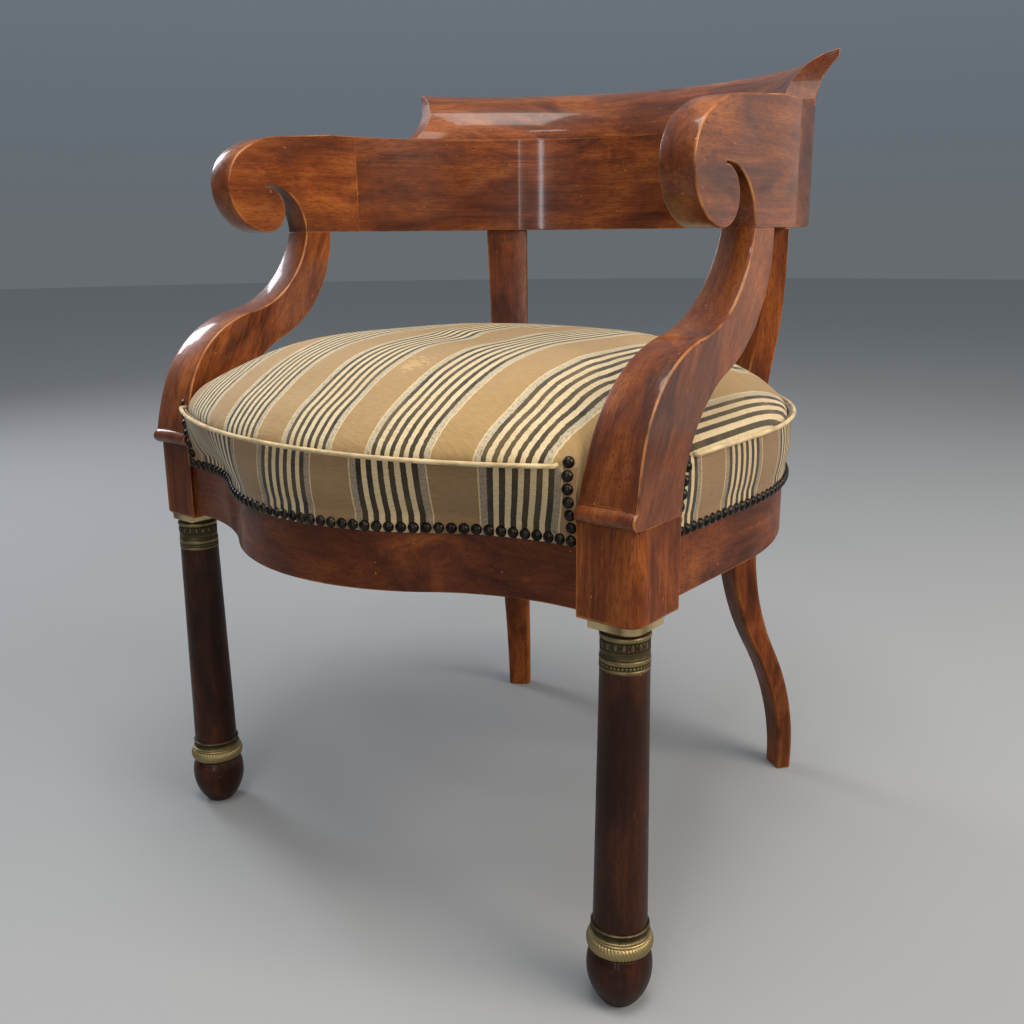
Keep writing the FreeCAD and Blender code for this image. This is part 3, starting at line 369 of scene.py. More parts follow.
def back_ease(point):
    return TIGHT if point.y < BACK_JOINT or point.z > RAIL_TOP - HAIR else 0.0011


# %% [markdown]
# The forward faces of the supports and the rolled arm ends were scraped by hand and stand a little
# fuller in the middle. A flat face would show a highlight as a bar from edge to edge, so these are
# cut lengthwise and their middle is raised.

# %% Full forward faces
PILLOW = 0.0024


def across(height):
    """The middle and the half width of a support at a height; the arm goes on with its width at the neck."""
    share = min(1, max(0, (height - FOOT) / (NECK - FOOT)))
    return 0.279 + 0.001 * share, 0.028 - 0.012 * share


def pillow(bm, side, low, high):
    """Raises the middle of the forward faces a little above their two arrises."""
    for share in (-0.8, -0.45, 0, 0.45, 0.8):
        foot, neck = (Vector((side * (middle + share * half), 0, height))
                      for height in (low, high) for middle, half in (across(height),))
        run = neck - foot
        cut(bm, foot, (run.z, 0, -run.x), 0.0001)
    bm.normal_update()
    moves = []
    for point in bm.verts:
        fronts = [face.normal for face in point.link_faces
                  if face.normal.y < -0.15 and abs(face.normal.x) < 0.5]
        if fronts:
            ahead = sum(fronts, Vector()) / len(fronts)
            middle, half = across(point.co.z)
            off = (abs(point.co.x) - middle) / half
            fade = min(1, (-ahead.y - 0.15) / 0.3) * min(1, max(0, (point.co.z - FOOT) / 0.012))
            moves.append((point, ahead.normalized() * PILLOW * (0.6 - off * off) * fade))
    for point, move in moves:
        point.co += move


# %% [markdown]
# Now the members are dressed one after another: each is copied, cut where it bends, eased, and its
# grain is laid. End grain drinks the polish, so the two cut ends of the crest get the dull wax.

# %% Dress the wooden members
END_GRAIN = 0.55


def members(name, sides, grain, width, finish, slot, ring=None, full=None, ladder=None):
    """Dresses one wooden member, or its left and right ones."""
    for side in sides:
        node = name + side
        bm = whole_faces(node)
        if ring:
            cut_radially(bm, ring, 40)
        if ladder:
            cut_level(bm, ladder)
        if full:
            pillow(bm, 1 if side == "_left" else -1, *full)
        piece = new_piece(bm, "polished_" + node, finish, slot, node)
        ease(piece, width)
        lay_grain(piece, grain)
        flat_stays_flat(piece)
        print(piece.name, len(piece.data.polygons), "faces")


PAIR = ("_left", "_right")
ALONE = ("",)
BACK_GRAIN = ring_grain(BACK_CENTRE, BACK_RADIUS)
SEAT_GRAIN = ring_grain(SEAT_CENTRE, SEAT_RING)
LEVEL_GRAIN, UPRIGHT_GRAIN = straight_grain((1, 0, 0), (0, 0, 1)), straight_grain((0, 0, 1), (1, 0, 0))
members("arm", PAIR, arm_grain, arm_ease, mahogany, "mahogany", BACK_CENTRE, full=(NECK, NECK + 0.1))
members("back_rail", ALONE, BACK_GRAIN, back_ease, mahogany, "mahogany", BACK_CENTRE)
members("crest_rail", ALONE, BACK_GRAIN, even(0.0008), mahogany, "mahogany")
members("arm_support", PAIR, straight_grain((0, 0.5, 0.86), (1, 0, 0)), support_ease, mahogany, "mahogany",
        full=(FOOT, NECK), ladder=0.0103)
members("corner_block", PAIR, UPRIGHT_GRAIN, block_ease, waxed_mahogany, "mahogany")
members("front_seat_rail", ALONE, LEVEL_GRAIN, even(0.0010), waxed_mahogany, "mahogany")
members("side_seat_rail", PAIR, SEAT_GRAIN, even(0.0010), waxed_mahogany, "mahogany", SEAT_CENTRE)
members("rear_seat_rail", ALONE, SEAT_GRAIN, even(0.0010), waxed_mahogany, "mahogany", SEAT_CENTRE)
members("rear_post", PAIR, UPRIGHT_GRAIN, post_ease, waxed_mahogany, "mahogany")
members("column", PAIR, UPRIGHT_GRAIN, even(TIGHT), dark_mahogany, "dark_mahogany")
members("toe", PAIR, UPRIGHT_GRAIN, even(TIGHT), dark_mahogany, "dark_mahogany")

crest = bpy.data.objects["polished_crest_rail"].data
crest.materials.append(waxed_mahogany)
for face in crest.polygons:
    along_ring = Vector((face.center.y, -face.center.x, 0)).normalized()
    if abs(face.normal.dot(along_ring)) > END_GRAIN:
        face.material_index = 1
print("dull faces at the crest's ends:", sum(face.material_index for face in crest.polygons))

# %% [markdown]
# The seat cloth is a striped wool and cotton rep, cut so that its stripes run from front to back. A
# repeat of 109 mm holds a plain tan band and a group of eleven narrow black and cream stripes between
# two speckled taupe bands. An image could carry this, but a colour ramp with hard stops, read over
# the metres that each cloth piece stores in an attribute named weave, draws the same stripes at any
# distance. The top gets softer, lighter tones than the border under it: partly because the top has
# faded, partly as painted light, with the top painted as lit from above and the upright border in painted
# shade.

# %% Striped cloth
STRIPE_REPEAT = 0.109
HALF_TAN, FINE_LINE, SPECKLED, GROUP = 19.6, 1.6, 5.8, 55.0
# Real threads are about 0.4 mm wide; they are drawn 1.3 mm wide so that they show.
THREAD = 0.0013
CLOTH_LAYERS = {
    "wander": ((2.4, 2.4, 2.4), 2, 0.5, 0),
    "fading": ((46, 46, 46), 5, 0.6, 0),
    "slubs": ((12, 1.4, 1000), 3, 0.5, 0),
    "loose": ((13, 2.6, 1000), 4, 0.5, 1.2)}


def crossed_threads(tree, weave, repeat):
    """How high the crossing threads of a weave stand, when its pattern repeats after a length in metres."""
    place = add(tree, "ShaderNodeSeparateXYZ", {"Vector": weave}).outputs
    waves = []
    for axis in "XY":
        phase = add(tree, "ShaderNodeMath", {0: place[axis], 1: 2 * math.pi / repeat}, operation="MULTIPLY")
        waves.append(add(tree, "ShaderNodeMath", {0: phase.outputs[0]}, operation="SINE").outputs[0])
    return add(tree, "ShaderNodeMath", {0: waves[0], 1: waves[1]}, operation="MULTIPLY").outputs[0]


def stripe_stops(black_share, tan, line, taupe, black, cream):
    """Where each stripe of a repeat starts, as a share of it, with its colour."""
    half = [(tan, HALF_TAN), (line, FINE_LINE), (taupe, SPECKLED)]
    black_wide = GROUP * black_share / 6
    group = [(black, black_wide), (cream, (GROUP - black_wide * 6) / 5)] * 5 + [(black, black_wide)]
    edge = 0
    stops = []
    for tone, width in half + group + half[::-1]:
        stops.append((edge / STRIPE_REPEAT / 1000, tone))
        edge += width
    return stops


def striped_cloth(name, black_share, tan, line, taupe, black, cream, dust):
    # Rep weave, wool on cotton: matt, with a faint sheen, small ribs and speckled taupe bands.
    finish, tree, shader = new_finish(name)
    weave = add(tree, "ShaderNodeAttribute", attribute_name="weave").outputs["Vector"]
    fray = add(tree, "ShaderNodeAttribute", attribute_name="fray").outputs["Fac"]
    layer = grown(tree, weave, CLOTH_LAYERS)
    side = add(tree, "ShaderNodeSeparateXYZ", {"Vector": weave}).outputs["X"]
    shift = add(tree, "ShaderNodeMath", {0: layer["wander"], 1: 0.0011, 2: side}, operation="MULTIPLY_ADD")
    turns = add(tree, "ShaderNodeMath", {0: shift.outputs[0], 1: 1 / STRIPE_REPEAT}, operation="MULTIPLY")
    share = add(tree, "ShaderNodeMath", {0: turns.outputs[0]}, operation="FRACT").outputs[0]
    bands = add(tree, "ShaderNodeValToRGB", {"Fac": share},
                stops=stripe_stops(black_share, tan, line, taupe, black, cream))
    start = (HALF_TAN + FINE_LINE) / STRIPE_REPEAT / 1000
    end = start + SPECKLED / STRIPE_REPEAT / 1000
    in_taupe = add(tree, "ShaderNodeValToRGB", {"Fac": share}, stops=[
        (0, "#000000"), (start, "#ffffff"), (end, "#000000"), (1 - end, "#ffffff"), (1 - start, "#000000")])
    for ramp in (bands, in_taupe):
        ramp.color_ramp.interpolation = "CONSTANT"
    dots = add(tree, "ShaderNodeTexVoronoi", {"Vector": weave, "Scale": per_mm(2.1)}).outputs["Distance"]
    torn = add(tree, "ShaderNodeMath", {0: layer["loose"], 1: 1.5, 2: fray}, operation="MULTIPLY_ADD")
    colour = tint_over(tree, bands.outputs[0], (
        (dots, (0.30, 0.42), (0.42, 0), in_taupe.outputs[0], black),
        (layer["fading"], (0.35, 0.75), (0, 0.30), None, dust),
        (layer["slubs"], (0.3, 0.7), (0.26, 0), None, "#4a3a22"),
        (torn.outputs[0], (1.24, 1.36), (0, 0.38), None, "#ddb877")))
    threads = crossed_threads(tree, weave, THREAD)
    relief = add(tree, "ShaderNodeBump", {"Height": threads, "Strength": 0.35, "Distance": 0.00025})
    feed(tree, shader, {"Base Color": colour, "Normal": relief.outputs[0], "Roughness": 0.9,
                        "Specular IOR Level": 0.25, "Sheen Weight": 0.18, "Sheen Roughness": 0.5})
    return finish


# Top and border are copies of one cloth: the top lighter for fading and painted light, the border darker
# with painted shade.
faded_and_lit_stripes = striped_cloth(
    "faded_and_lit_striped_rep", 0.52, "#a68658", "#dcc597", "#c0b397", "#1d1e19", "#d9c59d", "#b99a6a")
shaded_border_stripes = striped_cloth(
    "striped_rep", 0.54, "#8b6c49", "#c8ad7e", "#90806a", "#0d0c09", "#ceb58a", "#8f744e")
print("cloths:", faded_and_lit_stripes.name, shaded_border_stripes.name)

# %% [markdown]
# The seat is stuffed with horsehair over webbing, so its top is a full crown that dips at the piping.
# A lathe or a grid could give a smooth dome, but the cloth also has to close round the arm supports
# and the posts. The stuffing solid already does, so its copy is remeshed to even squares, pumped up
# a little as cloth with its lower part held, and smoothed. The pumping is capped, because a tight
# horsehair seat swells by a few millimetres only.

# %% The stuffed seat
SEAM_HEIGHT = 0.474
VOXEL = 0.006
SWELL_CAP = 0.004
RIPPLE = 0.0016


def pump(piece, held_below, frames):
    """Swells a closed piece as cloth under pressure, with its points below a height held."""
    held = piece.vertex_groups.new(name="held")
    for point in piece.data.vertices:
        held.add([point.index], min(1, max(0, (held_below + 0.012 - point.co.z) / 0.012)), "REPLACE")
    cloth = piece.modifiers.new("cloth", "CLOTH")
    cloth.settings.vertex_group_mass = held.name
    cloth.settings.use_pressure = True
    cloth.settings.uniform_pressure_force = 4
    cloth.settings.effector_weights.gravity = 0
    cloth.collision_settings.use_collision = False
    for number in range(1, frames + 1):
        bpy.context.scene.frame_set(number)
    settle(piece)
    bpy.context.scene.frame_set(1)


def even_mesh(piece, voxel):
    remesh = piece.modifiers.new("even_mesh", "REMESH")
    remesh.mode = "VOXEL"
    remesh.voxel_size = voxel
    settle(piece)


def swell(piece):
    """Pumps the seat, caps how far each point went, and smooths and ripples the top."""
    start = [point.co.copy() for point in piece.data.vertices]
    pump(piece, SEAM_HEIGHT, 20)
    bm = bmesh.new()
    bm.from_mesh(piece.data)
    for point, was in zip(bm.verts, start):
        step = point.co - was
        if step.length > SWELL_CAP:
            point.co = was + step.normalized() * SWELL_CAP
    free = [point for point in bm.verts if point.co.z > SEAM_HEIGHT - 0.01]
    for _ in range(6):
        bmesh.ops.smooth_vert(bm, verts=free, factor=0.5, use_axis_x=True, use_axis_y=True, use_axis_z=True)
    for point in free:
        lift = min(1, max(0, (point.co.z - SEAM_HEIGHT) / 0.03))
        point.co.z += RIPPLE * lift * noise.noise(point.co * per_mm(75))
    bm.to_mesh(piece.data)
    bm.free()


# %% [markdown]
# The stripes run from front to back, but the cloth was laid a little askew and is drawn in towards the
# front. An unwrapped map would lay them by chance, so a formula says where each point of the top lies in
# the flat cloth. A few places are frayed to the straw-coloured threads, and another attribute marks them.

# %% Lay the stripes on the seat
# How gently the stripes turn in towards the front.
BEND = 0.07
# Frayed places: across, forward or back, and reach.
FRAYED = ((-0.140, -0.03, 0.035), (0.054, -0.201, 0.024), (-0.12, -0.18, 0.018))
SUPPORT_CORNERS = (Vector((0.255, -0.20)), Vector((-0.255, -0.20)))


def seat_weave(point):
    """Where a point of the top lies in the flat cloth, laid askew and drawn in towards the front."""
    depth = 0.25 - BEND * math.log(1 + math.exp((0.25 - point.y - 0.28) / BEND))
    shift = -0.025 + 0.15 * point.x + depth * (0.217 - 0.65 * point.x)
    fall = math.copysign(0.4, point.x) * max(0, 0.51 - point.z) * min(1, abs(point.x) / 0.28) ** 4
    flat = Vector((point.x, point.y))
    pull = sum(math.copysign(0.004, corner.x) * math.exp(-(flat - corner).length_squared / 0.03 ** 2)
               for corner in SUPPORT_CORNERS)
    return (point.x + shift + fall - pull + 10.5 * STRIPE_REPEAT, point.y, 0)


def lay_seat_stripes(piece):
    """Stripes run from front to back; some places are frayed."""
    piece.data.attributes.new("weave", "FLOAT_VECTOR", "POINT")
    piece.data.attributes.new("fray", "FLOAT", "POINT")
    weave, fray = (piece.data.attributes[name] for name in ("weave", "fray"))
    for point, place, worn in zip(piece.data.vertices, weave.data, fray.data):
        flat = Vector((point.co.x, point.co.y))
        place.vector = seat_weave(point.co)
        worn.value = 0.62 * max(math.exp(-((flat.x - x) ** 2 + (flat.y - y) ** 2) / reach ** 2)
                                for x, y, reach in FRAYED)


seat_bm = bmesh.new()
seat_bm.from_mesh(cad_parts["stuffing"].data)
bmesh.ops.remove_doubles(seat_bm, verts=seat_bm.verts, dist=0.00002)
seat = new_piece(seat_bm, "striped_seat_top", faded_and_lit_stripes, "striped_cloth", "stuffing", "seat_cover")
even_mesh(seat, VOXEL)
swell(seat)
seat.data.shade_smooth()
lay_seat_stripes(seat)
finer = seat.modifiers.new("finer", "SUBSURF")
finer.levels = finer.render_levels = 1
print("seat top:", len(seat.data.polygons), "squares")

# %% [markdown]
# The border and the piping go round the seat in lengths, between the supports and the posts. Where each
# length starts and ends could be written down, but it is safer to find it: level rays sent from outside
# towards the middle of the seat tell at which angles a solid is met, and how far out it lies.

# %% Feel round the seat with rays
def solid_tree(node):
    """A solid's faces, ready for rays."""
    bm = bmesh.new()
    bm.from_mesh(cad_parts[node].data)
    tree = BVHTree.FromBMesh(bm)
    bm.free()
    return tree


def outside(tree, angle, height):
    """Where a level ray towards the middle of the seat first meets a solid, or None.

    A ray that slips through a crack is sent again beside it.
    """
    for nudge in (0, 0.0002, -0.0002):
        outward = Vector((math.cos(angle + nudge), math.sin(angle + nudge), 0))
        start = Vector((SEAT_CENTRE.x, SEAT_CENTRE.y, height)) + outward * 0.6
        met = tree.ray_cast(start, -outward, 0.45)[0]
        if met:
            break
    return met


def runs_round(tree, height, first):
    """The stretches of angle over which a solid is met, going once round from an angle that misses it."""
    step = math.radians(0.25)
    found = []
    inside = False
    for index in range(1440):
        angle = first + index * step
        met = outside(tree, angle, height) is not None
        if met and not inside:
            found.append([angle, angle])
        if met:
            found[-1][1] = angle
        inside = met
    return found


def edge_angle(tree, inside, away, height):
    """The last angle at which the solid is met, going from an angle inside it to one that misses it."""
    for _ in range(14):
        middle = (inside + away) / 2
        if outside(tree, middle, height):
            inside = middle
        else:
            away = middle
    return inside


# %% [markdown]
# Strips, cords and straps all start as a flat grid whose points are then moved to their places. A curve
# with a bevel would be quicker for some, but a grid can store its metres along and across, which the
# woven finishes read.

# %% Place a grid
def running(points):
    """How far along a line of points each of them lies."""
    lengths = [0]
    for here, there in zip(points, points[1:]):
        lengths.append(lengths[-1] + (there - here).length)
    return lengths


def grid_placed(columns, rows, place):
    """A grid whose points are moved to where a function of their shares along and up puts them."""
    bm = bmesh.new()
    weave = bm.verts.layers.float_vector.new("weave")
    bmesh.ops.create_grid(bm, x_segments=columns, y_segments=rows, size=0.5)
    for point in bm.verts:
        point.co, point[weave] = place(point.co.x + 0.5, point.co.y + 0.5)
    return bm


def face_outwards(bm, centre):
    bmesh.ops.recalc_face_normals(bm, faces=bm.faces)
    bm.faces.ensure_lookup_table()
    middle = bm.faces[len(bm.faces) // 2]
    if middle.normal.dot(middle.calc_center_median() - centre) < 0:
        bmesh.ops.reverse_faces(bm, faces=bm.faces)


# %% [markdown]
# The border is a strip of the same cloth, bent round the seat with its stripes upright. It is cut in
# four lengths. A plain band would do from afar, but a strip that follows the rays takes the swell of
# the stuffing behind it. The nails pull its lower edge in, so it puckers between them, and it creases
# where its ends are folded in.

# %% Cut and place the border strips
border_tree = solid_tree("seat_border")
border_low, border_high = (corner.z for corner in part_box("seat_border"))
PUCKER, PUCKER_PITCH = 0.0006, 0.0117
CREASE = 0.0012
CLOTH_THICK = 0.0012
STRIP_WIDTH = 0.07
STRIP_ROWS, STRIP_STEPS = 20, 200
# An angle in the gap that a post leaves, where going round the seat starts.
POST_GAP = math.radians(54.9)
BORDER_NAMES = ("rear", "right", "front", "left")
BLACK_GROUP_AT = {"rear": 90, "right": 185, "front": 270.5, "left": 355.2}


def border_strip(name, run):
    rise = (border_high - border_low - 0.0008) / STRIP_ROWS
    heights = [border_low + 0.0004 + rise * row for row in range(STRIP_ROWS + 1)]
    bounds = ((run[0] + 0.06, run[0] - 0.06), (run[1] - 0.06, run[1] + 0.06))
    ends = [[edge_angle(border_tree, inside, away, height) for inside, away in bounds] for height in heights]
    middle = STRIP_ROWS // 2
    start, turn = ends[middle][0], ends[middle][1] - ends[middle][0]
    lengths = running([outside(border_tree, start + turn * step / STRIP_STEPS, heights[middle])
                       for step in range(STRIP_STEPS + 1)])
    origin = lengths[round((math.radians(BLACK_GROUP_AT[name]) - start) / turn * STRIP_STEPS)]

    def place(along, up):
        row = round(up * STRIP_ROWS)
        first, last = ends[row]
        angle = first + (last - first) * along
        share = min(1, max(0, (angle - start) / turn)) * STRIP_STEPS
        step = min(STRIP_STEPS - 1, int(share))
        length = lengths[step] + (lengths[step + 1] - lengths[step]) * (share - step)
        point = outside(border_tree, angle, heights[row])
        outward = Vector((math.cos(angle), math.sin(angle), 0))
        pucker = PUCKER * math.cos(2 * math.pi * length / PUCKER_PITCH) * math.exp(-up * 7)
        from_end = min(length, lengths[-1] - length)
        fold = noise.noise(Vector((length * per_mm(5), up * 1.2, 3)))
        crease = CREASE * math.exp(-from_end / 0.02) * fold
        flat = (length - origin + STRIPE_REPEAT * 20.5, up * STRIP_WIDTH, 0)
        return point + outward * (pucker + crease), flat

    columns = max(30, int(lengths[-1] / 0.0032))
    bm = grid_placed(columns, STRIP_ROWS, place)
    face_outwards(bm, SEAT_CENTRE)
    piece = new_piece(bm, "border_" + name, shaded_border_stripes, "striped_cloth", "seat_border")
    wall = piece.modifiers.new("cloth_thickness", "SOLIDIFY")
    wall.thickness = CLOTH_THICK
    wall.offset = -1
    print(piece.name, "length in mm:", round(lengths[-1] * 1000))


for border_name, border_run in zip(BORDER_NAMES, runs_round(border_tree, 0.44, POST_GAP)):
    border_strip(border_name, border_run)

# %% [markdown]
# A cord covered in plain straw-coloured cloth closes the seam. A curve with a round bevel would make
# the tube, but the cloth on it is cut on the bias and its weave has to follow the tube, so a grid is
# rolled round the seam line instead, and it stores its own metres.

# %% The piping
PIPING_RADIUS = 0.0020
piping_cloth, piping_nodes, piping_shader = new_finish("straw_cotton_piping")
# Plain cotton on the bias: a warm straw colour, matt, soiled a little where hands and legs rub it.
bias = add(piping_nodes, "ShaderNodeAttribute", attribute_name="weave").outputs["Vector"]
bias_grid = add(piping_nodes, "ShaderNodeMapping", {"Vector": bias, "Rotation": (0, 0, math.radians(45)),
                                                    "Scale": (per_mm(1.2), per_mm(1.2), 1)})
bias_weave = add(piping_nodes, "ShaderNodeTexChecker", {"Vector": bias_grid.outputs[0], "Scale": 1})
bias_relief = add(piping_nodes, "ShaderNodeBump", {"Height": bias_weave.outputs["Fac"], "Strength": 0.3,
                                                   "Distance": 0.0002})
soil = add(piping_nodes, "ShaderNodeTexNoise", {"Vector": bias, "Scale": per_mm(22), "Detail": 4})
straw = add(piping_nodes, "ShaderNodeValToRGB", {"Fac": soil.outputs[0]},
            stops=[(0.3, "#9a8258"), (0.6, "#d2b98c")])
feed(piping_nodes, piping_shader, {"Base Color": straw.outputs[0], "Normal": bias_relief.outputs[0],
                                   "Roughness": 0.85, "Sheen Weight": 0.15})
print("piping finish:", piping_cloth.name)

# %% [markdown]
# The seam's height is known, so level rays find the outermost line of the solid piping. The tube is
# laid inside that line, and its radius wavers a little, because a cord sewn by hand is never even.

# %% Roll the piping round the seam
piping_solid = solid_tree("piping")


def piping_length(name, run):
    first = edge_angle(piping_solid, run[0] + 0.02, run[0] - 0.02, SEAM_HEIGHT)
    last = edge_angle(piping_solid, run[1] - 0.02, run[1] + 0.02, SEAM_HEIGHT)
    count = max(24, int((last - first) / math.radians(0.8)))
    rim = [outside(piping_solid, first + (last - first) * step / count, SEAM_HEIGHT)
           for step in range(count + 1)]
    lengths = running(rim)

    def place(along, up):
        step = round(along * count)
        tangent = (rim[min(count, step + 1)] - rim[max(0, step - 1)]).normalized()
        outward = tangent.cross(Vector((0, 0, 1)))
        turn = 2 * math.pi * up
        core = rim[step] - outward * PIPING_RADIUS
        waver = 1 + 0.06 * noise.noise(Vector((lengths[step] * per_mm(14), 0, 0)))
        spoke = outward * math.cos(turn) + Vector((0, 0, 1)) * math.sin(turn)
        return core + spoke * PIPING_RADIUS * waver, (lengths[step], PIPING_RADIUS * turn, 0)

    bm = grid_placed(count, 12, place)
    bmesh.ops.remove_doubles(bm, verts=bm.verts, dist=0.00002)
    bmesh.ops.holes_fill(bm, edges=[edge for edge in bm.edges if edge.is_boundary])
    bmesh.ops.recalc_face_normals(bm, faces=bm.faces)
    piece = new_piece(bm, "piping_" + name, piping_cloth, "cream_cord", "piping")
    print(piece.name, "length in mm:", round(lengths[-1] * 1000))


for piping_name, piping_run in zip(BORDER_NAMES, runs_round(piping_solid, SEAM_HEIGHT, POST_GAP)):
    piping_length(piping_name, piping_run)

# %% [markdown]
# Dome-headed brass nails hold the cloth, and they have gone nearly black. One dark colour would look
# painted, so a noise mottles the patina: where it is lighter it is also rougher.

# %% The nails' finish
antique_nail, nail_tree, nail_shader = new_finish("blackened_brass_nail")
# Brass nails gone nearly black: a dark metal whose rubbed crowns still catch the light.
nail_spot = add(nail_tree, "ShaderNodeTexCoord").outputs["Object"]
nail_patina = add(nail_tree, "ShaderNodeTexNoise", {"Vector": nail_spot, "Scale": per_mm(6), "Detail": 4})
nail_tone = add(nail_tree, "ShaderNodeValToRGB", {"Fac": nail_patina.outputs[0]},
                stops=[(0.35, "#191613"), (0.7, "#3b332a")])
nail_rough = add(nail_tree, "ShaderNodeMapRange", {"Value": nail_patina.outputs[0], "To Min": 0.20,
                                                   "To Max": 0.42})
feed(nail_tree, nail_shader, {"Base Color": nail_tone.outputs[0], "Roughness": nail_rough.outputs[0],
                              "Metallic": 0.85})
print("nail finish:", antique_nail.name)

# %% [markdown]
# There are nearly two hundred nails, so one head has only a few dozen faces: the upper half of a small
# ball, flattened. A collection instance would be light too, but a joined mesh exports as one piece. The
# solids say where each nail is and which way it points: the largest face of each solid nail is its
# flat underside. Each head is turned and sunk a little by a seeded draw, because hand-driven nails
# never sit alike.

# %% Drive the nails
NAIL_RADIUS = 0.0048
NAIL_HEIGHT = 0.0038


def nail_head():
    """One head at the origin, its rim on the ground and its crown up."""
    bm = bmesh.new()
    bmesh.ops.create_uvsphere(bm, u_segments=12, v_segments=8, radius=NAIL_RADIUS)
    everything = bm.verts[:] + bm.edges[:] + bm.faces[:]
    bmesh.ops.bisect_plane(bm, geom=everything, plane_co=(0, 0, 0), plane_no=(0, 0, 1), clear_inner=True)
    bmesh.ops.holes_fill(bm, edges=[edge for edge in bm.edges if edge.is_boundary])
    bmesh.ops.scale(bm, vec=(1, 1, NAIL_HEIGHT / NAIL_RADIUS), verts=bm.verts)
    bmesh.ops.recalc_face_normals(bm, faces=bm.faces)
    mesh = bpy.data.meshes.new("nail_head")
    bm.to_mesh(mesh)
    bm.free()
    return mesh


def undersides(node):
    """The middle and the outward direction of each solid nail's flat underside."""
    bm = whole_faces(node)
    found = []
    left = set(bm.faces)
    while left:
        group = set()
        edge = [left.pop()]
        while edge:
            face = edge.pop()
            group.add(face)
            for side in face.edges:
                for other in side.link_faces:
                    if other in left:
                        left.remove(other)
                        edge.append(other)
        base = max(group, key=lambda face: face.calc_area())
        found.append((base.calc_center_median(), -base.normal))
    bm.free()
    return sorted(found, key=lambda nail: tuple(nail[0]))


def drive_nails(node, name, draw):
    head = nail_head()
    bm = bmesh.new()
    places = undersides(node)
    for place, outward in places:
        before = len(bm.verts)
        bm.from_mesh(head)
        bm.verts.ensure_lookup_table()
        lean = Vector([draw.uniform(-0.08, 0.08) for _ in range(3)])
        turn = (outward + lean).to_track_quat("Z", "Y").to_matrix().to_4x4()
        sunk = Matrix.Scale(draw.uniform(0.92, 1.0), 4, (0, 0, 1))
        bmesh.ops.transform(bm, matrix=Matrix.Translation(place) @ turn @ sunk, verts=bm.verts[before:])
    new_piece(bm, name, antique_nail, "antique_nail", node)
    bpy.data.meshes.remove(head)
    print(name, len(places), "nails")


hammer = random.Random(11)
drive_nails("rail_nails", "nail_row_rails", hammer)
drive_nails("post_nails", "nail_row_uprights", hammer)

# %% [markdown]
# The front legs carry cast mounts of gilt bronze. The gilding has worn off where hands and cloths reach,
# so the finish needs to know what stands out. An attribute named proud will hold that for each point,
# and a noise added to it breaks up the line between dull and bright. The bright colour on proud places
# is partly that wear and partly a painted highlight.

# %% Gilt bronze
def cast_bronze(name, dark, middle, bright, rough):
    # Mercury-gilt bronze, worn: brass-olive metal, dull in the hollows, bright where it stands proud,
    # partly rubbed and partly a painted highlight.
    finish, tree, shader = new_finish(name)
    spot = add(tree, "ShaderNodeTexCoord").outputs["Object"]
    proud = add(tree, "ShaderNodeAttribute", attribute_name="proud").outputs["Fac"]
    tarnish = add(tree, "ShaderNodeTexNoise", {"Vector": spot, "Scale": per_mm(9), "Detail": 5,
                                               "Roughness": 0.65})
    # Proud places get the bright colour: partly rubbed gilding, partly a painted highlight.
    both = add(tree, "ShaderNodeMath", {0: tarnish.outputs[0], 1: 0.55, 2: proud}, operation="MULTIPLY_ADD")
    tone = add(tree, "ShaderNodeValToRGB", {"Fac": both.outputs[0]},
               stops=[(0.20, dark), (0.875, bright), (0.52, middle)])
    dull = add(tree, "ShaderNodeMapRange", {"Value": both.outputs[0], "From Min": 0.2, "From Max": 1,
                                            "To Min": rough + 0.16, "To Max": rough})
    pitted = add(tree, "ShaderNodeTexNoise", {"Vector": spot, "Scale": per_mm(1.4), "Detail": 3})
    pits = add(tree, "ShaderNodeBump", {"Height": pitted.outputs[0], "Strength": 0.25, "Distance": 0.0002})
    feed(tree, shader, {"Base Color": tone.outputs[0], "Roughness": dull.outputs[0],
                        "Normal": pits.outputs[0], "Metallic": 0.9})
    return finish


gilt_bronze = cast_bronze("worn_gilt_bronze", "#2b2519", "#544932", "#94825a", 0.40)
pale_brass = cast_bronze("pale_brass_plate", "#5f5038", "#96815a", "#c9b285", 0.42)
print("bronzes:", gilt_bronze.name, pale_brass.name)

# %% [markdown]
# The mounts are a collar with a twisted rope above the toe, and a capital with rings, leaves and a row
# of pearls under a square plate. A plain ring is a lathe turning, so each starts as a profile spun
# round the leg. The rope is a rolled grid whose skin rises and falls along slanting strands. Leaves
# and pearls are small balls, stretched and set round the ring, which is how the eye reads them too.

# %% Ways to shape a mount
def spun(bm, profile):
    """Spins a profile of radius and height in millimetres once round the upright axis."""
    points = [bm.verts.new((radius / 1000, 0, height / 1000)) for radius, height in profile]
    edges = [bm.edges.new(pair) for pair in zip(points, points[1:])]
    bmesh.ops.spin(bm, geom=points + edges, cent=(0, 0, 0), axis=(0, 0, 1), angle=2 * math.pi, steps=64,
                   use_merge=True)


def ring_of_balls(bm, count, radius, height, size, offset):
    """Sets small stretched balls round a ring: size is across, outwards and upwards in millimetres."""
    for index in range(count):
        turn = Matrix.Rotation(2 * math.pi * (index + offset) / count, 4, "Z")
        seat_at = Matrix.Translation((radius / 1000, 0, height / 1000))
        stretch = Matrix.Diagonal((size[1] / 1000, size[0] / 1000, size[2] / 1000, 1))
        bmesh.ops.create_uvsphere(bm, u_segments=8, v_segments=6, radius=1, matrix=turn @ seat_at @ stretch)


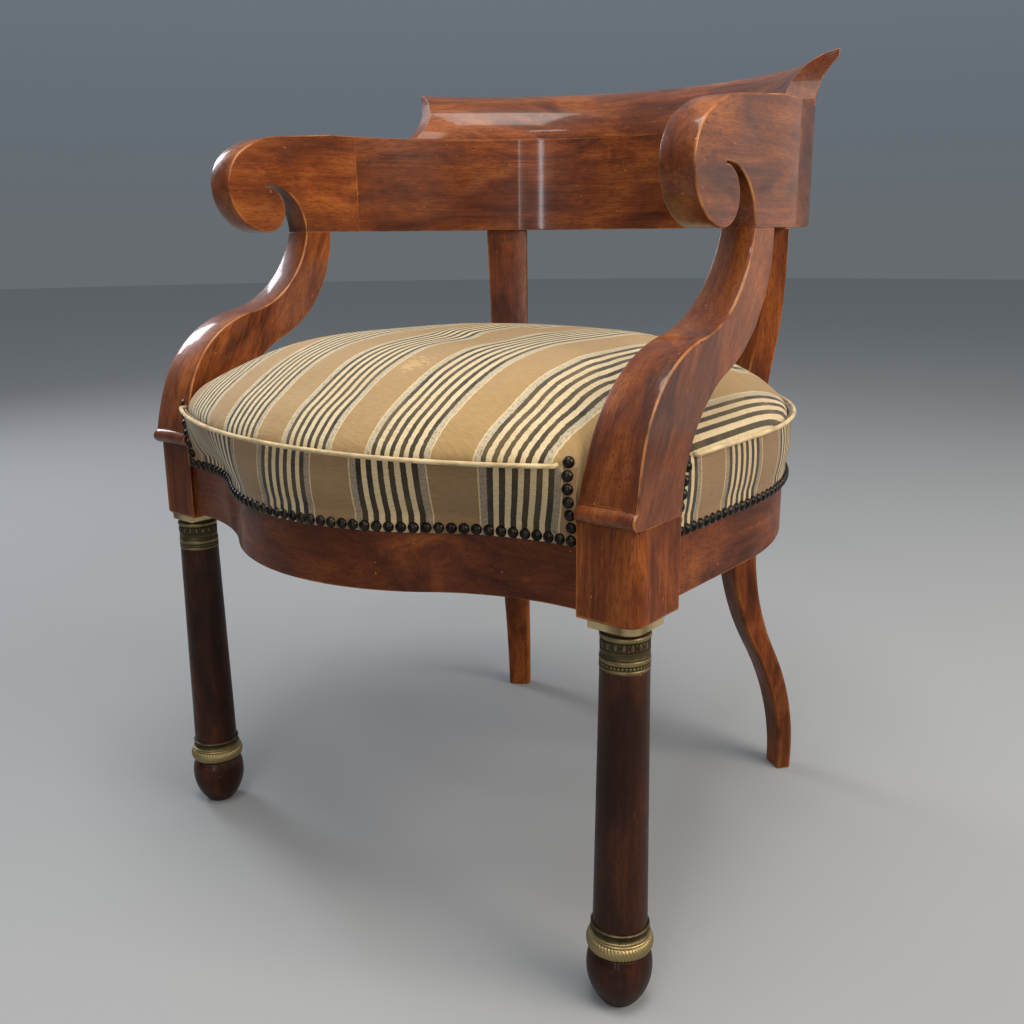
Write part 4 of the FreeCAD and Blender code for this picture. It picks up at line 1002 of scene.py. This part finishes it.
def mark_proud(piece, axis, base, reach):
    """Writes how far each point stands proud of the base radius, where the gilding is rubbed and a highlight
    is painted.
    """
    proud = piece.data.attributes.new("proud", "FLOAT", "POINT")
    for point, mark in zip(piece.data.vertices, proud.data):
        out = Vector((point.co.x - axis.x, point.co.y - axis.y)).length * 1000
        mark.value = min(1, max(0, (out - base) / reach))


def pour(part, into):
    """Adds one bmesh to another and frees it."""
    mesh = bpy.data.meshes.new("part")
    part.to_mesh(mesh)
    part.free()
    into.from_mesh(mesh)
    bpy.data.meshes.remove(mesh)


ROPE_STRANDS, ROPE_RADIUS, ROPE_HEIGHT = 56, 24.7, 60.0


def rope(bm):
    """Rolls a grid into a ring whose skin rises along slanting strands."""
    def place(along, up):
        turn, roll = 2 * math.pi * along, 2 * math.pi * up
        strand = abs(math.sin(ROPE_STRANDS / 2 * turn + roll * 2))
        section = 3.9 + 0.75 * math.sqrt(strand)
        out = ROPE_RADIUS + section * math.cos(roll) * 0.92
        height = ROPE_HEIGHT + section * 1.4 * math.sin(roll)
        return Vector((out * math.cos(turn), out * math.sin(turn), height)) / 1000, (0, 0, 0)
    loop = grid_placed(ROPE_STRANDS * 8, 24, place)
    bmesh.ops.remove_doubles(loop, verts=loop.verts, dist=0.00002)
    pour(loop, bm)


# %% [markdown]
# The left and the right leg carry the same mounts, so both are turned from one outline of each, at the
# origin, and then moved to the leg. The square plate on top is a plain slab, so its solid's copy serves.

# %% Turn and dress the mounts
LEG_AXES = {"left": Vector((0.282, -0.208, 0)), "right": Vector((-0.282, -0.208, 0))}
# Outlines of the collar and the capital: radius and height in millimetres.
COLLAR = (
    (19, 52.1), (23.5, 52.1), (24.5, 54), (24.5, 66), (26.2, 66.4), (26.6, 67.2), (26.2, 68.0), (25.2, 68.3),
    (25.2, 68.7), (26.0, 69.0), (26.0, 70.0), (24.9, 70.4), (24.2, 72.2), (24.2, 75.6), (24.9, 76.3),
    (25.3, 76.9), (24.9, 77.6), (24.0, 77.9), (19, 77.9))
CAPITAL = (
    (17, 310.1), (20.5, 310.1), (20.9, 310.6), (20.9, 312.2), (20.5, 312.7), (20.1, 313.0), (20.1, 316.2),
    (20.5, 316.6), (20.9, 317.4), (21.0, 318.6), (20.9, 319.8), (20.5, 320.5), (20.1, 320.8), (20.1, 321.4),
    (20.5, 321.7), (20.5, 322.2), (20.3, 322.5), (20.3, 326.6), (20.5, 326.9), (20.5, 327.3), (19.95, 327.6),
    (19.95, 335.8), (20.4, 336.2), (21.0, 337.2), (21.1, 338.6), (20.9, 339.8), (20.2, 340.4), (19.5, 340.8),
    (19.6, 341.8), (20.3, 342.9), (21.6, 343.9), (17, 343.9))
# Rows of balls round the capital: how many, radius, height, size and how far round they start.
BALL_ROWS = ((40, 20.1, 314.6, (1.3, 0.8, 1.4), 0), (18, 19.9, 331.7, (1.9, 0.8, 3.7), 0),
             (18, 19.9, 334.0, (1.0, 0.7, 1.2), 0.5), (18, 19.9, 329.6, (1.0, 0.7, 1.2), 0.5))
for side, axis in LEG_AXES.items():
    collar_bm = bmesh.new()
    spun(collar_bm, COLLAR)
    rope(collar_bm)
    capital_bm = bmesh.new()
    spun(capital_bm, CAPITAL)
    for row in BALL_ROWS:
        ring_of_balls(capital_bm, *row)
    mounts = ((collar_bm, "base_collar", 24, 3.5), (capital_bm, "capital", 19.8, 2.6))
    for mount_bm, mount, base, reach in mounts:
        bmesh.ops.recalc_face_normals(mount_bm, faces=mount_bm.faces)
        bmesh.ops.translate(mount_bm, vec=axis, verts=mount_bm.verts)
        piece = new_piece(mount_bm, f"cast_{mount}_{side}", gilt_bronze, "gilt_bronze", f"{mount}_{side}")
        mark_proud(piece, axis, base, reach)
        piece.data.set_sharp_from_angle(angle=math.radians(50))
        print(piece.name, len(piece.data.polygons), "faces")
    slab = f"abacus_{side}"
    plate = new_piece(whole_faces(slab), f"square_plate_{side}", pale_brass, "gilt_bronze", slab)
    ease(plate, even(0.0009))
    mark_proud(plate, axis, 22, 9)
    flat_stays_flat(plate)

# %% [markdown]
# Turned over, the seat shows how it is made: straps of jute webbing, and a sheet of jute sacking over
# them. Both are plain weaves of a coarse thread, so one function makes the two finishes from the same
# crossing threads as the seat cloth, with a fibre noise that is stretched along the straps.

# %% Jute
def jute(name, light, dark, thread):
    # Jute: coarse, dry and matt, with threads that show one by one. Their width is in millimetres.
    finish, tree, shader = new_finish(name)
    weave = add(tree, "ShaderNodeAttribute", attribute_name="weave").outputs["Vector"]
    threads = crossed_threads(tree, weave, 2 * thread / 1000)
    fibre_grid = add(tree, "ShaderNodeMapping", {"Vector": weave, "Scale": per_mm_each(1.2, 14, 1000)})
    fibre = add(tree, "ShaderNodeTexNoise", {"Vector": fibre_grid.outputs[0], "Scale": 1, "Detail": 4})
    # The low places of the weave are painted darker, as shade between the threads; the fibre noise is the
    # jute's own colour.
    fibre_and_weave_shade = add(tree, "ShaderNodeMath", {0: threads, 1: 0.22, 2: fibre.outputs[0]}, operation="MULTIPLY_ADD")
    tone = add(tree, "ShaderNodeValToRGB", {"Fac": fibre_and_weave_shade.outputs[0]}, stops=[(0.28, dark), (0.72, light)])
    relief = add(tree, "ShaderNodeBump", {"Height": threads, "Strength": 0.6, "Distance": 0.0004})
    feed(tree, shader, {"Base Color": tone.outputs[0], "Normal": relief.outputs[0], "Roughness": 0.95,
                        "Specular IOR Level": 0.2})
    return finish


jute_webbing = jute("jute_webbing", "#a98a5a", "#5d4527", 2.0)
hessian_cloth = jute("hessian_sacking", "#9c8158", "#4d3b22", 1.6)
print("jute finishes:", jute_webbing.name, hessian_cloth.name)

# %% [markdown]
# The webbing is tacked to the rails and interlaced. The straps could be flat bars, but a strap that
# passes over and under its neighbours is what the eye expects, so each is a long grid, lifted and
# lowered at every crossing. Rays along the solid straps find where their cut ends lie.

# %% Interlace the webbing
STRAP_WIDTH, STRAP_THICK, STRAP_MIDDLE, STRAP_LIFT = 0.05, 0.0013, 0.42555, 0.00074
STRAP_ROWS = 6


def straps(node, wise, along):
    """Each solid strap's middle, and where its cut ends lie at each row of threads across it."""
    bm = whole_faces(node)
    tops = [face for face in bm.faces if face.normal.z > 0.9]
    level = tops[0].calc_center_median().z - STRAP_THICK / 2
    tree = BVHTree.FromBMesh(bm)
    found = []
    for face in sorted(tops, key=lambda face: face.calc_center_median()[wise]):
        wide = [corner.co[wise] for corner in face.verts]
        middle = (min(wide) + max(wide)) / 2
        ends = []
        for row in range(STRAP_ROWS + 1):
            edge = middle + (row / STRAP_ROWS - 0.5) * STRAP_WIDTH * 0.98
            pair = []
            for way in (-1, 1):
                start, aim = Vector((0, 0, level)), Vector((0, 0, 0))
                start[wise], start[along], aim[along] = edge, way * 0.5, -way
                pair.append(tree.ray_cast(start, aim)[0][along] - way * 0.002)
            ends.append(pair)
        found.append((middle, ends))
    bm.free()
    return found


def interlace(node, lengths, wise, along, others, first):
    """Lays each strap over and under the others by turns; first says which it starts with."""
    joined = bmesh.new()
    for index, (middle, ends) in enumerate(lengths):
        def place(share, side):
            start, end = ends[round(side * STRAP_ROWS)]
            run = start + (end - start) * share
            lift = 0
            for number, (crossing, _) in enumerate(others):
                near = max(0, 1 - abs(run - crossing) / 0.055)
                lift += (-1) ** (index + number + first) * STRAP_LIFT * math.sin(near * math.pi / 2) ** 2
            edge = middle + (side - 0.5) * STRAP_WIDTH
            point = Vector((0, 0, STRAP_MIDDLE + lift))
            point[wise], point[along] = edge, run
            return point, (side * STRAP_WIDTH, run, 0)
        pour(grid_placed(90, STRAP_ROWS, place), joined)
    bmesh.ops.recalc_face_normals(joined, faces=joined.faces)
    piece = new_piece(joined, "jute_" + node, jute_webbing, "jute", node)
    wall = piece.modifiers.new("strap_thickness", "SOLIDIFY")
    wall.thickness = STRAP_THICK
    wall.offset = 0


lengthwise = straps("webbing_lengthwise", 0, 1)
crosswise = straps("webbing_crosswise", 1, 0)
interlace("webbing_lengthwise", lengthwise, 0, 1, crosswise, 0)
interlace("webbing_crosswise", crosswise, 1, 0, lengthwise, 1)

# %% [markdown]
# Hessian lies on the webbing and carries the stuffing. Its solid already has the right outline, so a
# copy is cut into squares by planes, and each point stores its place in the weave.

# %% Lay the hessian
HESSIAN_SQUARES = 40
hessian_bm = whole_faces("hessian")
hessian_low, hessian_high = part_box("hessian")
hessian_size = hessian_high - hessian_low
for axis in (0, 1):
    square = Vector((0, 0, 0))
    square[axis] = 1
    for number in range(1, HESSIAN_SQUARES):
        place = square * (hessian_low[axis] + hessian_size[axis] * number / HESSIAN_SQUARES)
        cut(hessian_bm, place, square, 0.0001)
hessian_weave = hessian_bm.verts.layers.float_vector.new("weave")
for point in hessian_bm.verts:
    point[hessian_weave] = (point.co.x, point.co.y, 0)
hessian = new_piece(hessian_bm, "hessian_sheet", hessian_cloth, "jute", "hessian")

# %% [markdown]
# The beech dowels inside the arm and crest joints have the right shape already, so the solids stay and
# only get their finish. They don't carry a grain attribute, so this one reads Object coordinates.

# %% Beech dowels
beech, beech_tree, beech_shader = new_finish("plain_beech")
# Beech: pale and close-grained, with small flecks along the grain and no polish.
beech_spot = add(beech_tree, "ShaderNodeTexCoord").outputs["Object"]
beech_grid = add(beech_tree, "ShaderNodeMapping", {"Vector": beech_spot, "Scale": per_mm_each(1.5, 1.5, 9)})
beech_fleck = add(beech_tree, "ShaderNodeTexNoise", {"Vector": beech_grid.outputs[0], "Scale": 1,
                                                     "Detail": 3})
beech_tone = add(beech_tree, "ShaderNodeValToRGB", {"Fac": beech_fleck.outputs[0]},
                 stops=[(0.35, "#a97f55"), (0.65, "#cfab80")])
feed(beech_tree, beech_shader, {"Base Color": beech_tone.outputs[0], "Roughness": 0.6})
for dowels in ("arm_dowels", "crest_dowels"):
    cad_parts[dowels].data.materials.clear()
    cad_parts[dowels].data.materials.append(beech)
    print(dowels, "finished in", beech.name)

# %% [markdown]
# Polish shows only what it mirrors, so the lights are placed for their reflections. A window to the
# left, a high one and two narrow ones beside the camera draw the long bright lines in the wood. A broad
# light from the right keeps the side faces readable, and one from overhead softens the shadows.

# %% Light
def soft_light(name, place, aim, size, power, colour):
    lamp = bpy.data.lights.new(name, "AREA")
    lamp.shape = "RECTANGLE"
    lamp.size, lamp.size_y = size
    lamp.energy = power
    lamp.color = linear(colour)[:3]
    holder = bpy.data.objects.new(name, lamp)
    bpy.context.scene.collection.objects.link(holder)
    holder.location = place
    holder.rotation_euler = (Vector(aim) - Vector(place)).to_track_quat("-Z", "Y").to_euler()


bpy.context.scene.view_settings.view_transform = "Standard"
# Name, place, aim, width and height in metres, power in watts, colour.
LIGHTS = (
    ("window_left", (-2.9, 0.1, 2.0), (0, 0, 0.5), (0.9, 1.0), 40, "#f4f7ff"),
    ("window_near_a", (1.30, -3.1, 1.2), (0, 0.1, 0.7), (0.08, 1.7), 12, "#f2f6ff"),
    ("window_near_b", (1.85, -2.85, 1.2), (0, 0.1, 0.7), (0.08, 1.7), 7, "#ffffff"),
    ("fill_right", (2.7, 0.2, 1.9), (0, 0, 0.5), (1.9, 1.6), 74, "#fff1e0"),
    ("veil_behind", (1.6, 2.3, 0.9), (0.3, 0, 0.6), (2.0, 1.6), 8, "#fff6ec"),
    ("window_high", (0.7, -2.3, 2.8), (0, 0.1, 0.7), (0.9, 0.10), 7, "#ffffff"),
    ("overhead", (0.5, -0.5, 3.2), (0, 0, 0.5), (1.5, 1.5), 68, "#fffaf2"))
for light in LIGHTS:
    soft_light(*light)
print("lights:", len(LIGHTS))

# %% [markdown]
# The chair stands on a plain pale floor. A large disc gives it without a corner in view, and a sky that
# grows lighter upwards stands for the wall behind.

# %% A plain floor and backdrop
floor_bm = bmesh.new()
bmesh.ops.create_circle(floor_bm, cap_ends=True, segments=96, radius=14)
floor_mesh = bpy.data.meshes.new("studio_floor")
floor_bm.to_mesh(floor_mesh)
floor_bm.free()
floor = bpy.data.objects.new("studio_floor", floor_mesh)
bpy.context.scene.collection.objects.link(floor)
paper, _, paper_shader = new_finish("pale_matt_floor")
paper_shader.inputs["Base Color"].default_value = linear("#949698")
paper_shader.inputs["Roughness"].default_value = 0.85
floor_mesh.materials.append(paper)

world = bpy.data.worlds.new("studio")
bpy.context.scene.world = world
world.use_nodes = True
sky = world.node_tree
heading = add(sky, "ShaderNodeTexCoord")
height = add(sky, "ShaderNodeSeparateXYZ", {"Vector": heading.outputs["Generated"]})
backdrop = add(sky, "ShaderNodeValToRGB", {"Fac": height.outputs["Z"]},
               stops=[(0.0, "#666b6f"), (0.62, "#9fa5aa"), (0.10, "#646d75"), (0.36, "#737c84")])
feed(sky, sky.nodes["Background"], {"Color": backdrop.outputs[0], "Strength": 1.0})
print("stage:", floor.name, world.name)

# %% [markdown]
# The camera stands where the photograph was taken from: a little to the sitter's left, looking down by
# some fifteen degrees. Its place and angles were solved from the picture, with the help of the chair's
# symmetry, so they are set as figures, and the three axes of the camera are worked out from them.

# %% The camera
CAMERA_PLACE = (0.71396, -0.88504, 0.64732)
PAN, TILT, ROLL = (math.radians(angle) for angle in (38.903, 14.696, -0.547))
right = Vector((math.cos(PAN), math.sin(PAN), 0))
ahead = Vector((-math.sin(PAN) * math.cos(TILT), math.cos(PAN) * math.cos(TILT), -math.sin(TILT)))
top = right.cross(ahead)
wide = right * math.cos(ROLL) + top * math.sin(ROLL)
tall = top * math.cos(ROLL) - right * math.sin(ROLL)
lens = bpy.data.cameras.new("camera")
lens.lens = 37.70
lens.sensor_width = 36
camera = bpy.data.objects.new("camera", lens)
bpy.context.scene.collection.objects.link(camera)
turned = Matrix((wide, tall, -ahead)).transposed().to_4x4()
camera.matrix_world = Matrix.Translation(CAMERA_PLACE) @ turned
bpy.context.scene.camera = camera
print("camera height in mm:", round(camera.matrix_world.translation.z * 1000))
